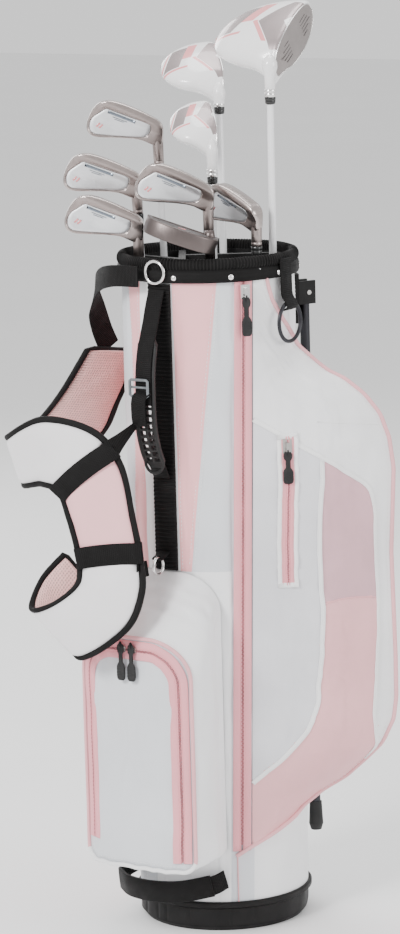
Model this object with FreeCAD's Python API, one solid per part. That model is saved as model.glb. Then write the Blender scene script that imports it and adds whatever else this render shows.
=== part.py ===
import FreeCAD, Part
import os
from math import cos, radians, sin, tan

V = FreeCAD.Vector

# Golf club set: a stand bag with nine clubs, in millimetres. +Z is up, the bag's axis is Z and the floor is z = 0.
# The spine with its strap, handle and ball pocket is on -Y, the stand legs are on +Y, the apparel pocket is on +X.

# Bag body
BAG_TOP = 875.0
TUBE_R = 111.0
TUBE_WALL = 5.0
TUBE_Z0 = 8.0
TUBE_Z1 = 866.0
COLLAR_R = 117.4
MOUTH_R = 104.0
COLLAR_Z0 = 846.0
BOOT_LIP_R = 115.0
BOOT_H = 40.0
SLOPE_Y = 35.0              # the underside rises behind this line, so that the bag can lean on its legs
SLOPE_DEG = 23.8
FLOOR_T = 6.0
SKIN_GAP = 0.3              # between the tube and what is sewn to it

# Clubs. Each stands upside down on a straight line from its butt to its head.
RACK_DEG = 34.0             # the clubs' rows run across the bag, turned this far from +X
LINE_Z0 = 30.0
LINE_Z1 = 880.0
GRIP_R = 13.3
GRIP_TIP_R = 8.0
GRIP_LEN = 265.0
SHAFT_BUTT_R = 7.4
SHAFT_TIP_R = 4.3
HOSEL_R = 6.7
WOOD_WALL = 2.6
WOOD_HEEL = 13.0            # how far a wood's heel reaches past its shaft line

# Stand
LEG_R = 6.3
LEG_TURN = 42.0             # each leg lies this far round from +Y
LEG_RADIUS = 127.0
LEG_PIVOT_Z = 812.0
LEG_FOOT_Z = 95.0
LEG_SPLAY = 25.0            # its hinge line is turned this far from the X axis
PIN_R = 3.0
ROD_R = 2.5
ROD_X = 16.0
ROD_Y = 118.0
LEVER_Y0 = 38.0
LEVER_Y1 = 124.0
LEVER_Z = 4.6
LEVER_T = 5.0
LEVER_W = 90.0
LEVER_BAY = 6.4             # depth of the bay above the slope that the lever folds up into

# Main zipper, a straight line down the side of the tube
ZIP_TOP = (858.0, -33.0)    # height and angle from +X
ZIP_END = (106.0, -44.0)
TAPE_W = 24.0
TAPE_T = 1.5

# Small zipper on the apparel pocket's panel
SMALL_TOP = 645.0
SMALL_END = 452.0
SMALL_AT = 0.23             # this fraction of the way across the panel
WING_DEG = 25.0             # direction of the pocket's outer edge

RACK = (cos(radians(RACK_DEG)), sin(radians(RACK_DEG)))


def rack(u, w, z=0.0):
    """A point u across and w behind the rack's middle, in the part's frame."""
    return V(u * RACK[0] - w * RACK[1], u * RACK[1] + w * RACK[0], z)


def polar(r, deg, z=0.0):
    return V(r * cos(radians(deg)), r * sin(radians(deg)), z)


def unit(v):
    return V(v).multiply(1.0 / v.Length)


def mix(a, b, f):
    return a + (b - a) * f


def cyl(r, z0, z1, x=0.0, y=0.0):
    return Part.makeCylinder(r, z1 - z0, V(x, y, z0))


def rod(a, b, r):
    return Part.makeCylinder(r, (b - a).Length, a, b - a)


def cone(a, b, ra, rb):
    return Part.makeCone(ra, rb, (b - a).Length, a, b - a)


def block(x0, x1, y0, y1, z0, z1):
    return Part.makeBox(x1 - x0, y1 - y0, z1 - z0, V(x0, y0, z0))


def ring_solid(ro, ri, z0, z1):
    return cyl(ro, z0, z1).cut(cyl(ri, z0 - 1.0, z1 + 1.0))


def turned(points):
    """A solid of revolution about Z from (radius, height) points."""
    wire = Part.makePolygon([V(r, 0, z) for r, z in points + points[:1]])
    return Part.Face(wire).revolve(V(0, 0, 0), V(0, 0, 1), 360)


def set_in(shape, origin, x_dir, y_dir, z_dir):
    """Moves a shape from local axes to the given origin and axes."""
    m = FreeCAD.Matrix(x_dir.x, y_dir.x, z_dir.x, origin.x,
                       x_dir.y, y_dir.y, z_dir.y, origin.y,
                       x_dir.z, y_dir.z, z_dir.z, origin.z,
                       0, 0, 0, 1)
    moved = shape.copy()
    moved.transformShape(m)
    return moved


def loft(sections):
    wires = [Part.makePolygon(list(s) + [s[0]]) for s in sections]
    return Part.makeLoft(wires, True, True)


def strip_sections(edges, thickness):
    """Sections of a flat strip through pairs of edge points, thickened evenly to both sides."""
    mids = [mix(a, b, 0.5) for a, b in edges]
    last = len(edges) - 1
    sections = []
    for i, (a, b) in enumerate(edges):
        along = mids[min(i + 1, last)] - mids[max(i - 1, 0)]
        n = unit((b - a).cross(along)) * (thickness / 2.0)
        sections.append([a - n, b - n, b + n, a + n])
    return sections


def strip(edges, thickness):
    return loft(strip_sections(edges, thickness))


def band(points, width, thickness):
    """Upright webbing through a row of centre points."""
    half = V(0, 0, width / 2.0)
    return strip([(p - half, p + half) for p in points], thickness)


def slope_cutter(lift):
    """Everything below the sloped underside, raised by lift."""
    run = 120.0
    rise = run * tan(radians(SLOPE_DEG))
    pts = [V(-150, SLOPE_Y, lift), V(-150, SLOPE_Y + run, lift + rise),
           V(-150, SLOPE_Y + run, -50), V(-150, SLOPE_Y, -50)]
    return Part.Face(Part.makePolygon(pts + pts[:1])).extrude(V(300, 0, 0))


def seat_z(y):
    """Height of the bag's inner floor at y."""
    flat = TUBE_Z0 + FLOOR_T
    return flat + max(0.0, y - SLOPE_Y) * tan(radians(SLOPE_DEG)) + (2.0 if y > SLOPE_Y else 0.0)


def zip_deg(z):
    f = (ZIP_TOP[0] - z) / (ZIP_TOP[0] - ZIP_END[0])
    return ZIP_TOP[1] + f * (ZIP_END[1] - ZIP_TOP[1])


# ---------------------------------------------------------------- bag body
def make_tube():
    outer = cyl(TUBE_R, TUBE_Z0, TUBE_Z1).cut(slope_cutter(TUBE_Z0))
    inner = cyl(TUBE_R - TUBE_WALL, TUBE_Z0 + FLOOR_T, TUBE_Z1 + 1).cut(slope_cutter(TUBE_Z0 + FLOOR_T))
    return outer.cut(inner)


def make_boot():
    shape = turned([(0, 0), (104, 0), (108, 5), (111, 30), (BOOT_LIP_R, 33), (BOOT_LIP_R, BOOT_H - 2),
                    (BOOT_LIP_R - 2, BOOT_H), (0, BOOT_H)])
    shape = shape.cut(slope_cutter(0.0))
    shape = shape.cut(cyl(TUBE_R, TUBE_Z0, BOOT_H + 5).cut(slope_cutter(TUBE_Z0)))
    ears = block(-LEVER_W / 2 - 8, LEVER_W / 2 + 8, LEVER_Y0 - 8, LEVER_Y0 + 8, 0, 16).cut(slope_cutter(0.0))
    shape = shape.fuse(ears.common(shape))
    bay = block(-LEVER_W / 2 - 1, LEVER_W / 2 + 1, LEVER_Y0 - 4.5, LEVER_Y1, -1, 60)
    shape = shape.cut(bay.common(slope_cutter(LEVER_BAY)))
    shape = shape.cut(block(-LEVER_W / 2 - 1, LEVER_W / 2 + 1, LEVER_Y0 - 4.5, LEVER_Y0 + 8, -1, LEVER_Z + 4.5))
    return shape.cut(rod(V(-60, LEVER_Y0, LEVER_Z), V(60, LEVER_Y0, LEVER_Z), 1.5))


def make_collar():
    return turned([(TUBE_R, COLLAR_Z0), (COLLAR_R - 1, COLLAR_Z0), (COLLAR_R, COLLAR_Z0 + 3),
                   (COLLAR_R, BAG_TOP - 8), (COLLAR_R - 2.5, BAG_TOP - 2.5), (COLLAR_R - 6, BAG_TOP),
                   (MOUTH_R + 2.5, BAG_TOP - 1.5), (MOUTH_R, BAG_TOP - 6), (MOUTH_R, TUBE_Z1), (TUBE_R, TUBE_Z1)])


def make_divider():
    """Padded bars across the mouth that keep the clubs apart."""
    z0, z1, wide = 840.0, 862.0, 9.0
    reach = 112.0
    hole = cyl(TUBE_R - TUBE_WALL, z0, z1)

    def bar(u0, w0, u1, w1):
        along = unit(rack(u1, w1) - rack(u0, w0))
        side = V(-along.y, along.x, 0) * (wide / 2)
        a, b = rack(u0, w0, z0), rack(u1, w1, z0)
        return Part.Face(Part.makePolygon([a - side, b - side, b + side, a + side, a - side])).extrude(V(0, 0, z1 - z0))

    bars = bar(-33, -reach, -33, reach)
    for ends in ((-33, -12, reach, -12), (33, -reach, 33, -12), (-33, 47, reach, 47), (-33, 5, -96, 68)):
        bars = bars.fuse(bar(*ends))
    rim = ring_solid(TUBE_R - TUBE_WALL, MOUTH_R, z0, z1)
    return bars.common(hole).fuse(rim).removeSplitter()


# ---------------------------------------------------------------- soft parts
WING = ((140, 112), (165, 132), (205, 186), (250, 222), (300, 231), (430, 228), (590, 232), (640, 224), (690, 192),
        (720, 152), (752, 114))          # height and reach of the apparel pocket's outer edge


def wing_reach(z):
    for (z0, r0), (z1, r1) in zip(WING, WING[1:]):
        if z0 <= z <= z1:
            return r0 + (r1 - r0) * (z - z0) / (z1 - z0)
    return TUBE_R


def wing_points(z):
    """The pocket's near root, bulged middle and outer edge at height z, and its outward direction."""
    reach = wing_reach(z)
    full = (reach - 112.0) / 120.0
    root = polar(TUBE_R + SKIN_GAP, zip_deg(z) + 7.5, z)
    edge = polar(reach, WING_DEG, z)
    out = unit(V((edge - root).y, -(edge - root).x, 0))
    return root, mix(root, edge, 0.5) + out * (14.0 * full + 2.0), edge, out


def make_apparel_pocket():
    sections = []
    for z, reach in WING:
        root, middle, edge, out = wing_points(z)
        full = (reach - 112.0) / 120.0
        back = edge - out * (5.0 + 20.0 * full)
        far = polar(TUBE_R + SKIN_GAP, 34.0, z)
        crown = mix(back, far, 0.5) - out * (2.0 + 8.0 * full)
        sections.append([root, middle, edge, back, crown, far, polar(95.0, 15.0, z), polar(95.0, -20.0, z)])
    return loft(sections).cut(cyl(TUBE_R + SKIN_GAP, 60, 800))


def make_ball_pocket():
    """Front pocket: a rounded box whose top slopes back to the tube."""
    plan = [V(x, y, 104) for x, y in ((-72, -70), (-90, -140), (-84, -182), (-45, -198), (42, -198), (80, -182),
                                      (86, -150), (62, -92), (60, -70))]
    body = Part.Face(Part.makePolygon(plan + plan[:1])).extrude(V(0, 0, 370))
    top = [V(-120, -230, 372), V(-120, -198, 404), V(-120, -120, 474), V(-120, -60, 474), V(-120, -60, 600),
           V(-120, -230, 600)]
    body = body.cut(Part.Face(Part.makePolygon(top + top[:1])).extrude(V(240, 0, 0)))
    arch = []
    for deg in range(0, 181, 15):
        arch.append(V(-2 + 95 * cos(radians(deg)), -230, 330 + 150 * sin(radians(deg))))
    arch = [V(93, -230, 90)] + arch + [V(-97, -230, 90)]
    body = body.common(Part.Face(Part.makePolygon(arch + arch[:1])).extrude(V(0, 200, 0)))
    return body.cut(cyl(TUBE_R + 2.0 * SKIN_GAP, 60, 600))


def make_spine():
    """Cross-ribbed webbing down the front of the tube."""
    strip_body = block(-16.5, 16.5, -TUBE_R - 3.4, -TUBE_R - 0.9, 476, 843)
    pad = block(-16.5, 16.5, -TUBE_R - 1.0, -100, 476, 843).cut(cyl(TUBE_R + 0.05, 400, 900))
    ribs = [block(-16.5, 16.5, -TUBE_R - 5.0, -TUBE_R - 3.0, z, z + 5.0) for z in range(486, 620, 12)]
    return strip_body.fuse([pad] + ribs)


def make_carry_handle():
    """Webbing that bows out from the spine, with a moulded grip round its middle."""
    route = [V(0, -117, 836), V(0, -128, 810), V(0, -140, 770), V(0, -147, 735), V(0, -148, 700), V(0, -146, 665),
             V(0, -138, 635), V(0, -126, 612), V(0, -117.5, 596)]
    web = strip([(p - V(12, 0, 0), p + V(12, 0, 0)) for p in route], 2.6)
    grip = strip([(p - V(13, 0, 0), p + V(13, 0, 0)) for p in route[2:7]], 8.0)
    return web.fuse(grip)


def make_rings():
    upper = Part.makeTorus(14.0, 1.9, V(0, -TUBE_R - 9.5, 858), V(0, 1, 0))
    lower = Part.makeTorus(11.0, 1.8, V(0, -TUBE_R - 20, 484), V(1, 0, 0))
    return Part.makeCompound([upper, lower])


def make_zip_tape():
    edges = []
    for i in range(0, 5):
        z = ZIP_TOP[0] - 14 + (ZIP_END[0] - ZIP_TOP[0] + 14) * i / 4.0
        mid = polar(TUBE_R + 2.2, zip_deg(z), z)
        side = V(-sin(radians(zip_deg(z))), cos(radians(zip_deg(z))), 0) * (TAPE_W / 2.0)
        edges.append((mid - side, mid + side))
    return strip(edges, TAPE_T).cut(cyl(TUBE_R + 0.1, 60, 900))


def small_zip_frame(z):
    """A place on the pocket's panel and the outward and sideways directions there."""
    root, middle, edge, out = wing_points(z)
    side = unit(middle - root)
    normal = V(side.y, -side.x, 0)
    return mix(root, middle, SMALL_AT / 0.5), normal, side


def make_small_tape():
    edges = []
    for z in (SMALL_TOP, 590.0, 520.0, SMALL_END):
        at, normal, side = small_zip_frame(z)
        mid = at + normal * 1.6
        edges.append((mid - side * 9.0, mid + side * 9.0))
    return strip(edges, 1.4)


def zip_slider(at, normal, side, down):
    """A slider body and the pull that hangs from it."""
    origin = at + normal * 0.6
    body = block(-6, 6, 0, 4.6, -9, 9).fuse(block(-2, 2, 4.0, 8.0, -7, 5)).cut(
        Part.makeCylinder(1.3, 8, V(-4, 6.3, -4), V(1, 0, 0)))
    return set_in(body, origin, side, normal, down * -1.0)


def zip_pull(at, normal, side, down, length):
    origin = at + normal * 0.6
    pin = Part.makeCylinder(1.2, 8.4, V(-4.2, 6.3, -4), V(1, 0, 0))
    arms = block(-4.6, -2.6, 5.2, 7.7, -14, -2.9).fuse(block(2.6, 4.6, 5.2, 7.7, -14, -2.9))
    tab = block(-4.6, 4.6, 4.9, 7.7, -18, -12).fuse(block(-5.2, 5.2, 4.4, 8.4, -length, -17))
    return set_in(pin.fuse([arms, tab]), origin, side, normal, down * -1.0)


def main_zip_place(z):
    deg = zip_deg(z)
    normal = polar(1.0, deg)
    return polar(TUBE_R + 3.6, deg, z), normal, V(-normal.y, normal.x, 0)


# The strap is a padded sling that hangs off the spine side: pairs of edge points along it, top to bottom.
STRAP = ((V(-148, -64, 745), V(-128, 20, 732)), (V(-162, -109, 690), V(-134, -18, 675)),
         (V(-171, -160, 655), V(-136, -70, 627)), (V(-171, -212, 650), V(-160, -190, 590)),
         (V(-104, -225, 680), V(-115, -218, 596)), (V(-45, -200, 664), V(-84, -225, 590)),
         (V(-12, -190, 622), V(-68, -228, 560)), (V(2, -188, 556), V(-58, -225, 520)),
         (V(12, -188, 505), V(-54, -226, 488)), (V(18, -196, 462), V(-58, -232, 470)),
         (V(10, -222, 420), V(-80, -248, 450)), (V(-50, -238, 382), V(-115, -248, 440)),
         (V(-80, -212, 420), V(-122, -216, 470)), (V(-72, -180, 460), V(-104, -190, 500)))
STRAP_T = 13.0


def make_strap_web():
    """Flat webbing from the upper ring to the pad, and from the yoke to the lower ring."""
    top = [V(-22, -126, 852), V(-70, -118, 850), V(-112, -88, 836), V(-136, -60, 806), V(-143, -40, 772),
           V(-144, -26, 750)]
    ups = [V(0, 0, 17), V(2, 2, 17), V(-8, 14, 12), V(-12, 20, 6), V(-10, 23, 2), V(-9, 24, 0)]
    upper = strip([(p - d, p + d) for p, d in zip(top, ups)], 2.4)
    lower = band([V(-20, -186, 482), V(-12, -168, 483), V(-5, -148, 484)], 24, 2.4)
    return Part.makeCompound([upper, lower])


def make_base_handle():
    return band([V(66, -95, 72), V(56, -112, 66), V(20, -130, 58), V(-20, -137, 55), V(-62, -128, 54),
                 V(-92, -106, 55), V(-98, -82, 62), V(-87, -73, 72)], 26, 2.6)


# ---------------------------------------------------------------- towel ring
TOWEL_DEG = 0.0
TOWEL_Z = 812.0


def make_towel_loop():
    normal = polar(1.0, TOWEL_DEG)
    side = V(-normal.y, normal.x, 0)
    body = block(COLLAR_R + 0.4, 128.4, -13, 13, 800, 870).cut(block(COLLAR_R + 2.2, 126.6, -14, 14, 802, 868))
    return set_in(body, V(0, 0, 0), normal, side, V(0, 0, 1))


def make_towel_ring():
    return Part.makeTorus(25.0, 2.5, polar(122.6, TOWEL_DEG, TOWEL_Z - 25.0), polar(1.0, TOWEL_DEG))


# ---------------------------------------------------------------- stand
def leg_axes(side):
    """The pivot point of a leg, its hinge line and its outward direction. side is +1 on +X."""
    pivot = V(side * LEG_RADIUS * sin(radians(LEG_TURN)), LEG_RADIUS * cos(radians(LEG_TURN)), LEG_PIVOT_Z)
    line = V(cos(radians(LEG_SPLAY)), -side * sin(radians(LEG_SPLAY)), 0)
    out = V(side * sin(radians(LEG_SPLAY)), cos(radians(LEG_SPLAY)), 0)
    return pivot, line, out


def sector(ro, ri, z0, z1, half_deg):
    """A part of a ring, centred on +Y."""
    far = 300.0
    a, b = radians(90 - half_deg), radians(90 + half_deg)
    wedge = [V(0, 0, z0), V(far * cos(a), far * sin(a), z0), V(0, far, z0), V(far * cos(b), far * sin(b), z0)]
    wedge = Part.Face(Part.makePolygon(wedge + wedge[:1])).extrude(V(0, 0, z1 - z0))
    return ring_solid(ro, ri, z0, z1).common(wedge)


def make_bracket():
    inner = TUBE_R + SKIN_GAP
    z0, z1 = 774.0, 838.0
    body = sector(116.4, inner, z0, z1, 54.0).fuse(sector(124.5, inner, z0, z1, 16.0))
    for side in (-1, 1):
        pivot, line, out = leg_axes(side)
        for end in (-1, 1):
            ear = block(-2, 2, -26, 10, -15, 15)
            ear = set_in(ear, pivot + line * (end * 9.7), line, out, V(0, 0, 1))
            body = body.fuse(ear)
    body = body.cut(cyl(inner, 700, 900))
    for side in (-1, 1):
        pivot, line, out = leg_axes(side)
        body = body.cut(rod(pivot - line * 14, pivot + line * 14, PIN_R))
        body = body.cut(cyl(ROD_R + 0.8, z0 - 1, z1 + 1, side * ROD_X, ROD_Y))
    return body


def make_pins():
    pins = []
    for side in (-1, 1):
        pivot, line, out = leg_axes(side)
        pins.append(rod(pivot - line * 12.5, pivot + line * 12.5, PIN_R))
    pins.append(rod(V(-54, LEVER_Y0, LEVER_Z), V(54, LEVER_Y0, LEVER_Z), 1.5))
    return Part.makeCompound(pins)


def make_leg(side):
    pivot, line, out = leg_axes(side)
    eye = rod(pivot - line * 7.2, pivot + line * 7.2, 7.5)
    tube = rod(pivot - V(0, 0, 5), V(pivot.x, pivot.y, LEG_FOOT_Z + 8), LEG_R)
    return eye.fuse(tube).cut(rod(pivot - line * 9, pivot + line * 9, PIN_R + 0.05))


def make_foot(side):
    pivot, line, out = leg_axes(side)
    base = V(pivot.x, pivot.y, LEG_FOOT_Z)
    foot = cone(base, base + V(0, 0, 8), 7.0, 9.5).fuse(cone(base + V(0, 0, 8), base + V(0, 0, 38), 9.5, 8.0))
    return foot.cut(rod(base + V(0, 0, 8), base + V(0, 0, 60), LEG_R))


def make_rod():
    """Two push rods side by side, joined by a bar just above the lever's end."""
    z0 = LEVER_Z + LEVER_T / 2 + 3.0 + ROD_R
    z1 = 796.0
    legs = [cyl(ROD_R, z0, z1, side * ROD_X, ROD_Y) for side in (-1, 1)]
    bar = rod(V(-ROD_X, ROD_Y, z0), V(ROD_X, ROD_Y, z0), ROD_R)
    ends = [Part.makeSphere(ROD_R, V(side * ROD_X, ROD_Y, z0)) for side in (-1, 1)]
    return bar.fuse(legs + ends)


def make_lever():
    w = LEVER_W / 2
    plate = block(-w, w, LEVER_Y0, LEVER_Y1, LEVER_Z - LEVER_T / 2, LEVER_Z + LEVER_T / 2)
    knuckle = rod(V(-w, LEVER_Y0, LEVER_Z), V(w, LEVER_Y0, LEVER_Z), 3.4)
    return plate.fuse(knuckle).cut(rod(V(-w - 1, LEVER_Y0, LEVER_Z), V(w + 1, LEVER_Y0, LEVER_Z), 1.56))


# ---------------------------------------------------------------- clubs
class Club:
    """One club on its line: foot and mouth are rack places at LINE_Z0 and LINE_Z1."""

    def __init__(self, kind, foot, mouth, sole_z, toe_deg, lie, hosel, size):
        low, high = rack(*foot, LINE_Z0), rack(*mouth, LINE_Z1)
        self.kind, self.hosel, self.size = kind, hosel, size
        self.axis = unit(high - low)
        self.low = low
        butt = self.at(LINE_Z0)
        self.butt_z = seat_z(butt.y + GRIP_R) + 1.5
        self.sole = self.at(sole_z)
        toe = V(RACK[0] * cos(radians(toe_deg)) - RACK[1] * sin(radians(toe_deg)),
                RACK[1] * cos(radians(toe_deg)) + RACK[0] * sin(radians(toe_deg)), 0)
        flat = unit(toe - self.axis * toe.dot(self.axis))
        c, s = cos(radians(lie)), sin(radians(lie))
        self.toe = self.axis * c + flat * s          # heel to toe
        self.crown = flat * c - self.axis * s        # sole to crown
        self.face = flat.cross(self.axis)            # out of the face

    def at(self, z):
        return self.low + self.axis * ((z - self.low.z) / self.axis.z)

    def place(self, shape):
        return set_in(shape, self.sole, self.toe, self.crown, self.face)

    def neck(self, length, r):
        return rod(self.sole - self.axis * length, self.sole, r)


def half_ball(rx, ry, rz, front):
    """Half an ellipsoid: in front of local z = 0, or behind it."""
    ball = Part.makeSphere(1.0)
    m = FreeCAD.Matrix()
    m.scale(V(rx, ry, rz))
    ball = ball.transformGeometry(m)
    return ball.common(block(-200, 200, -200, 200, 0, 200) if front else block(-200, 200, -200, 200, -200, 0))


def wood_shape(width, height, depth, wall):
    """A wood's body inset by wall: rounded behind, flat face in front, flattened sole."""
    w, h = width / 2 - wall, height / 2 - wall
    body = half_ball(w, h, depth - wall, False).fuse(half_ball(w, h, 14.0 - wall / 2, True))
    body = body.cut(block(-200, 200, -200, 200, 8.0 - wall, 60))
    return body.cut(block(-200, 200, -200, -height * 0.43 + wall, -200, 200))


def wood_head(club):
    """A hollow wood or hybrid head, with its neck."""
    width, height, depth = club.size
    shift = V(width / 2 - WOOD_HEEL, height * 0.43, -2.0)
    outer = wood_shape(width, height, depth, 0.0)
    inner = wood_shape(width, height, depth, WOOD_WALL)
    outer.translate(shift)
    inner.translate(shift)
    neck = club.neck(club.hosel, HOSEL_R)
    return club.place(outer).fuse(neck).cut(club.place(inner).cut(neck))


def iron_head(club):
    """A cavity-back blade with its neck."""
    length, toe_h, sole_t = club.size
    outline = [V(-4, 6, 0), V(2, 0.5, 0), V(length * 0.45, -1.5, 0), V(length * 0.8, 1.0, 0),
               V(length * 0.95, 8, 0), V(length, toe_h * 0.5, 0), V(length * 0.97, toe_h * 0.82, 0),
               V(length * 0.88, toe_h, 0), V(length * 0.76, toe_h * 0.99, 0), V(length * 0.3, toe_h * 0.66, 0),
               V(length * 0.1, toe_h * 0.56, 0), V(-10, toe_h * 0.5, 0)]
    body = Part.Face(Part.makePolygon(outline + outline[:1])).extrude(V(0, 0, sole_t + 6))
    body.translate(V(0, 0, -sole_t + 4))
    cut = [V(-40, 3, -sole_t), V(-40, 14, -8), V(-40, toe_h + 5, -3.5), V(-40, toe_h + 5, -50), V(-40, 3, -50)]
    body = body.cut(Part.Face(Part.makePolygon(cut + cut[:1])).extrude(V(200, 0, 0)))
    body = body.cut(block(-40, 200, -20, 90, 4.0, 60))
    pocket = [V(14, 10, 0), V(length * 0.86, 10, 0), V(length * 0.9, toe_h * 0.5, 0), V(length * 0.84, toe_h * 0.84, 0),
              V(length * 0.72, toe_h * 0.84, 0), V(16, toe_h * 0.5, 0)]
    hollow = Part.Face(Part.makePolygon(pocket + pocket[:1])).extrude(V(0, 0, 40))
    hollow.translate(V(0, 0, -41.2))
    return club.place(body.cut(hollow)).fuse(club.neck(club.hosel, HOSEL_R))


def putter_head(club):
    """A mallet: a straight face with a rounded body behind, and a sight slot."""
    length, height, depth = club.size
    heel = -12.0
    mid = heel + length / 2
    outline = [V(heel, 0, 6), V(heel, 0, -8)]
    for deg in range(0, 181, 20):
        outline.append(V(mid - (length / 2 - 4) * cos(radians(deg)), 0, -12 - (depth - 12) * sin(radians(deg))))
    outline += [V(heel + length, 0, -8), V(heel + length, 0, 6)]
    body = Part.Face(Part.makePolygon(outline + outline[:1])).extrude(V(0, height, 0))
    slot = block(mid - 10, mid + 10, height - 8, height + 1, -depth - 5, -16)
    under = block(mid - 26, mid + 26, -1, 5, -depth + 16, -12)
    return club.place(body.cut(slot).cut(under)).fuse(club.neck(club.hosel, HOSEL_R))


def make_shaft(club):
    top = club.sole - club.axis * club.hosel
    butt = club.at(club.butt_z + 3.0)
    mid = mix(butt, top, 0.3)
    return rod(butt, mid, SHAFT_BUTT_R - 1.0).fuse(cone(mid, top, SHAFT_BUTT_R - 1.0, SHAFT_TIP_R))


def make_grip(club, shaft):
    butt = club.at(club.butt_z)
    cap = butt + club.axis * 6.0
    end = butt + club.axis * GRIP_LEN
    body = cone(butt, cap, GRIP_R - 1.5, GRIP_R).fuse(cone(cap, end, GRIP_R, GRIP_TIP_R))
    return body.cut(rod(club.at(club.butt_z + 3.0), club.at(club.butt_z + 400.0), SHAFT_BUTT_R - 1.0))


# kind, butt place, mouth place, sole height, toe direction, lie, neck length, head size
CLUBS = {
    "driver": Club("wood", (78, 12), (83, -33), 1136, 60, 57, 66, (120, 62, 104)),
    "fairway": Club("wood", (22, 45), (20.5, 86), 1094, 100, 57, 46, (98, 44, 66)),
    "hybrid": Club("wood", (0, 15), (8, 8), 1028, 100, 59, 62, (86, 38, 46)),
    "iron_a": Club("iron", (-35, 52), (-57, 55), 1034, 180, 62, 56, (82, 51, 17)),
    "iron_b": Club("iron", (-45, 14), (-86, 27), 970, 180, 62, 52, (84, 52, 17)),
    "iron_c": Club("iron", (-72, -20), (-88, -8), 918, 180, 62, 56, (84, 53, 18)),
    "iron_d": Club("iron", (0, -38), (2, -50), 959, 180, 62, 64, (84, 52, 18)),
    "wedge": Club("iron", (50, -55), (62, -63), 933, 139, 63, 50, (74, 52, 19)),
    "putter": Club("putter", (0, -76), (3, -81), 901, 180, 70, 40, (94, 20, 46)),
}

BUILDERS = {"wood": wood_head, "iron": iron_head, "putter": putter_head}


def save(name, shape):
    bad = [s for s in shape.Solids if not s.isValid() or s.Volume <= 0]
    print(name, len(shape.Solids), round(shape.Volume / 1000.0, 2), "BAD" if bad or not shape.Solids else "ok")
    shape.exportStep("parts/%s.step" % name)


def build():
    strap = strip_sections(STRAP, STRAP_T)
    nodes = {
        "bag_tube": make_tube(),
        "base_boot": make_boot(),
        "top_collar": make_collar(),
        "club_divider": make_divider(),
        "apparel_pocket": make_apparel_pocket(),
        "ball_pocket": make_ball_pocket(),
        "spine_webbing": make_spine(),
        "carry_handle": make_carry_handle(),
        "spine_rings": make_rings(),
        "main_zipper_tape": make_zip_tape(),
        "small_zipper_tape": make_small_tape(),
        "towel_ring_loop": make_towel_loop(),
        "towel_ring": make_towel_ring(),
        "leg_bracket": make_bracket(),
        "pivot_pins": make_pins(),
        "push_rod": make_rod(),
        "kick_lever": make_lever(),
        "base_handle": make_base_handle(),
        "strap_upper_pad": loft(strap[0:5]),
        "strap_yoke": loft(strap[4:9]),
        "strap_lower_pad": loft(strap[8:]),
        "strap_webbing": make_strap_web(),
    }
    for word, side in (("left", -1), ("right", 1)):
        nodes["leg_" + word] = make_leg(side)
        nodes["foot_" + word] = make_foot(side)

    at, normal, side = main_zip_place(832.0)
    down = unit(main_zip_place(132.0)[0] - at)
    nodes["main_slider"] = zip_slider(at, normal, side, down)
    nodes["main_pull"] = zip_pull(at, normal, side, down, 56.0)
    at, normal, side = small_zip_frame(632.0)
    down = unit(small_zip_frame(472.0)[0] - at)
    at = at + normal * 2.6
    nodes["small_slider"] = zip_slider(at, normal, side, down)
    nodes["small_pull"] = zip_pull(at, normal, side, down, 48.0)
    for word, x in (("left", -11.0), ("right", 5.0)):
        nodes["ball_pull_" + word] = block(x - 4.6, x + 4.6, -206.5, -203.0, 350, 398)

    for name, club in CLUBS.items():
        head = BUILDERS[club.kind](club)
        shaft = make_shaft(club)
        nodes[name + "_head"] = head
        nodes[name + "_shaft"] = shaft.cut(head)
        nodes[name + "_grip"] = make_grip(club, shaft)
    return nodes


os.makedirs("parts", exist_ok=True)
for node_name, node_shape in build().items():
    save(node_name, node_shape)
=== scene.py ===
from math import atan2, cos, degrees, pi, radians, sin, sqrt, tan
import bpy
from mathutils import Matrix, Vector, noise
from mathutils.bvhtree import BVHTree


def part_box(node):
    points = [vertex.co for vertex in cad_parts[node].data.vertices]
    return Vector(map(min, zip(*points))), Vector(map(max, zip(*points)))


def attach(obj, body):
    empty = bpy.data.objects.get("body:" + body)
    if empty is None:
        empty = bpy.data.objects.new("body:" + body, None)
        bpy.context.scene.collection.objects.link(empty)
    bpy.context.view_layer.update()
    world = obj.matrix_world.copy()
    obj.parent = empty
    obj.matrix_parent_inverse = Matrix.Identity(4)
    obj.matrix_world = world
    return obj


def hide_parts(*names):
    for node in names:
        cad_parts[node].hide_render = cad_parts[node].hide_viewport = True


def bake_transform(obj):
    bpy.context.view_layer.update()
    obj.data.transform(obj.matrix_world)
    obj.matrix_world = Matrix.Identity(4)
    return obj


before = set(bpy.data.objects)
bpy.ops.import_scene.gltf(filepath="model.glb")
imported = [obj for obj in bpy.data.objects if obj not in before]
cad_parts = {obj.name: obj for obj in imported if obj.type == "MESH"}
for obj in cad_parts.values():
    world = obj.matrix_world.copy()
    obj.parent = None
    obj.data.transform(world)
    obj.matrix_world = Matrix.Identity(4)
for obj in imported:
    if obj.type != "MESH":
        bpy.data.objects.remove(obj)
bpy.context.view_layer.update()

# A golf club set: a stand bag with nine clubs. Metres, +Z up, the bag's axis is Z.
# Angles round the bag are in degrees from +X: the spine is at -90 and the stand legs are at +90.
MM = 0.001
BAG = "bag"
STRAP = "strap"
TUBE_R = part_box("bag_tube")[1].x
TUBE_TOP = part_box("bag_tube")[1].z
CLOTH_R = 0.1122                # cloth sewn to the tube lies at this radius
COLLAR_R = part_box("top_collar")[1].x
COLLAR_Z0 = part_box("top_collar")[0].z
BAG_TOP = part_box("top_collar")[1].z
MOUTH_R = 0.104
BAND_R = 0.1166                 # the plain band under the collar's roll
BOOT_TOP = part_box("base_boot")[1].z
X_WAY = Vector((1, 0, 0))
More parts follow.
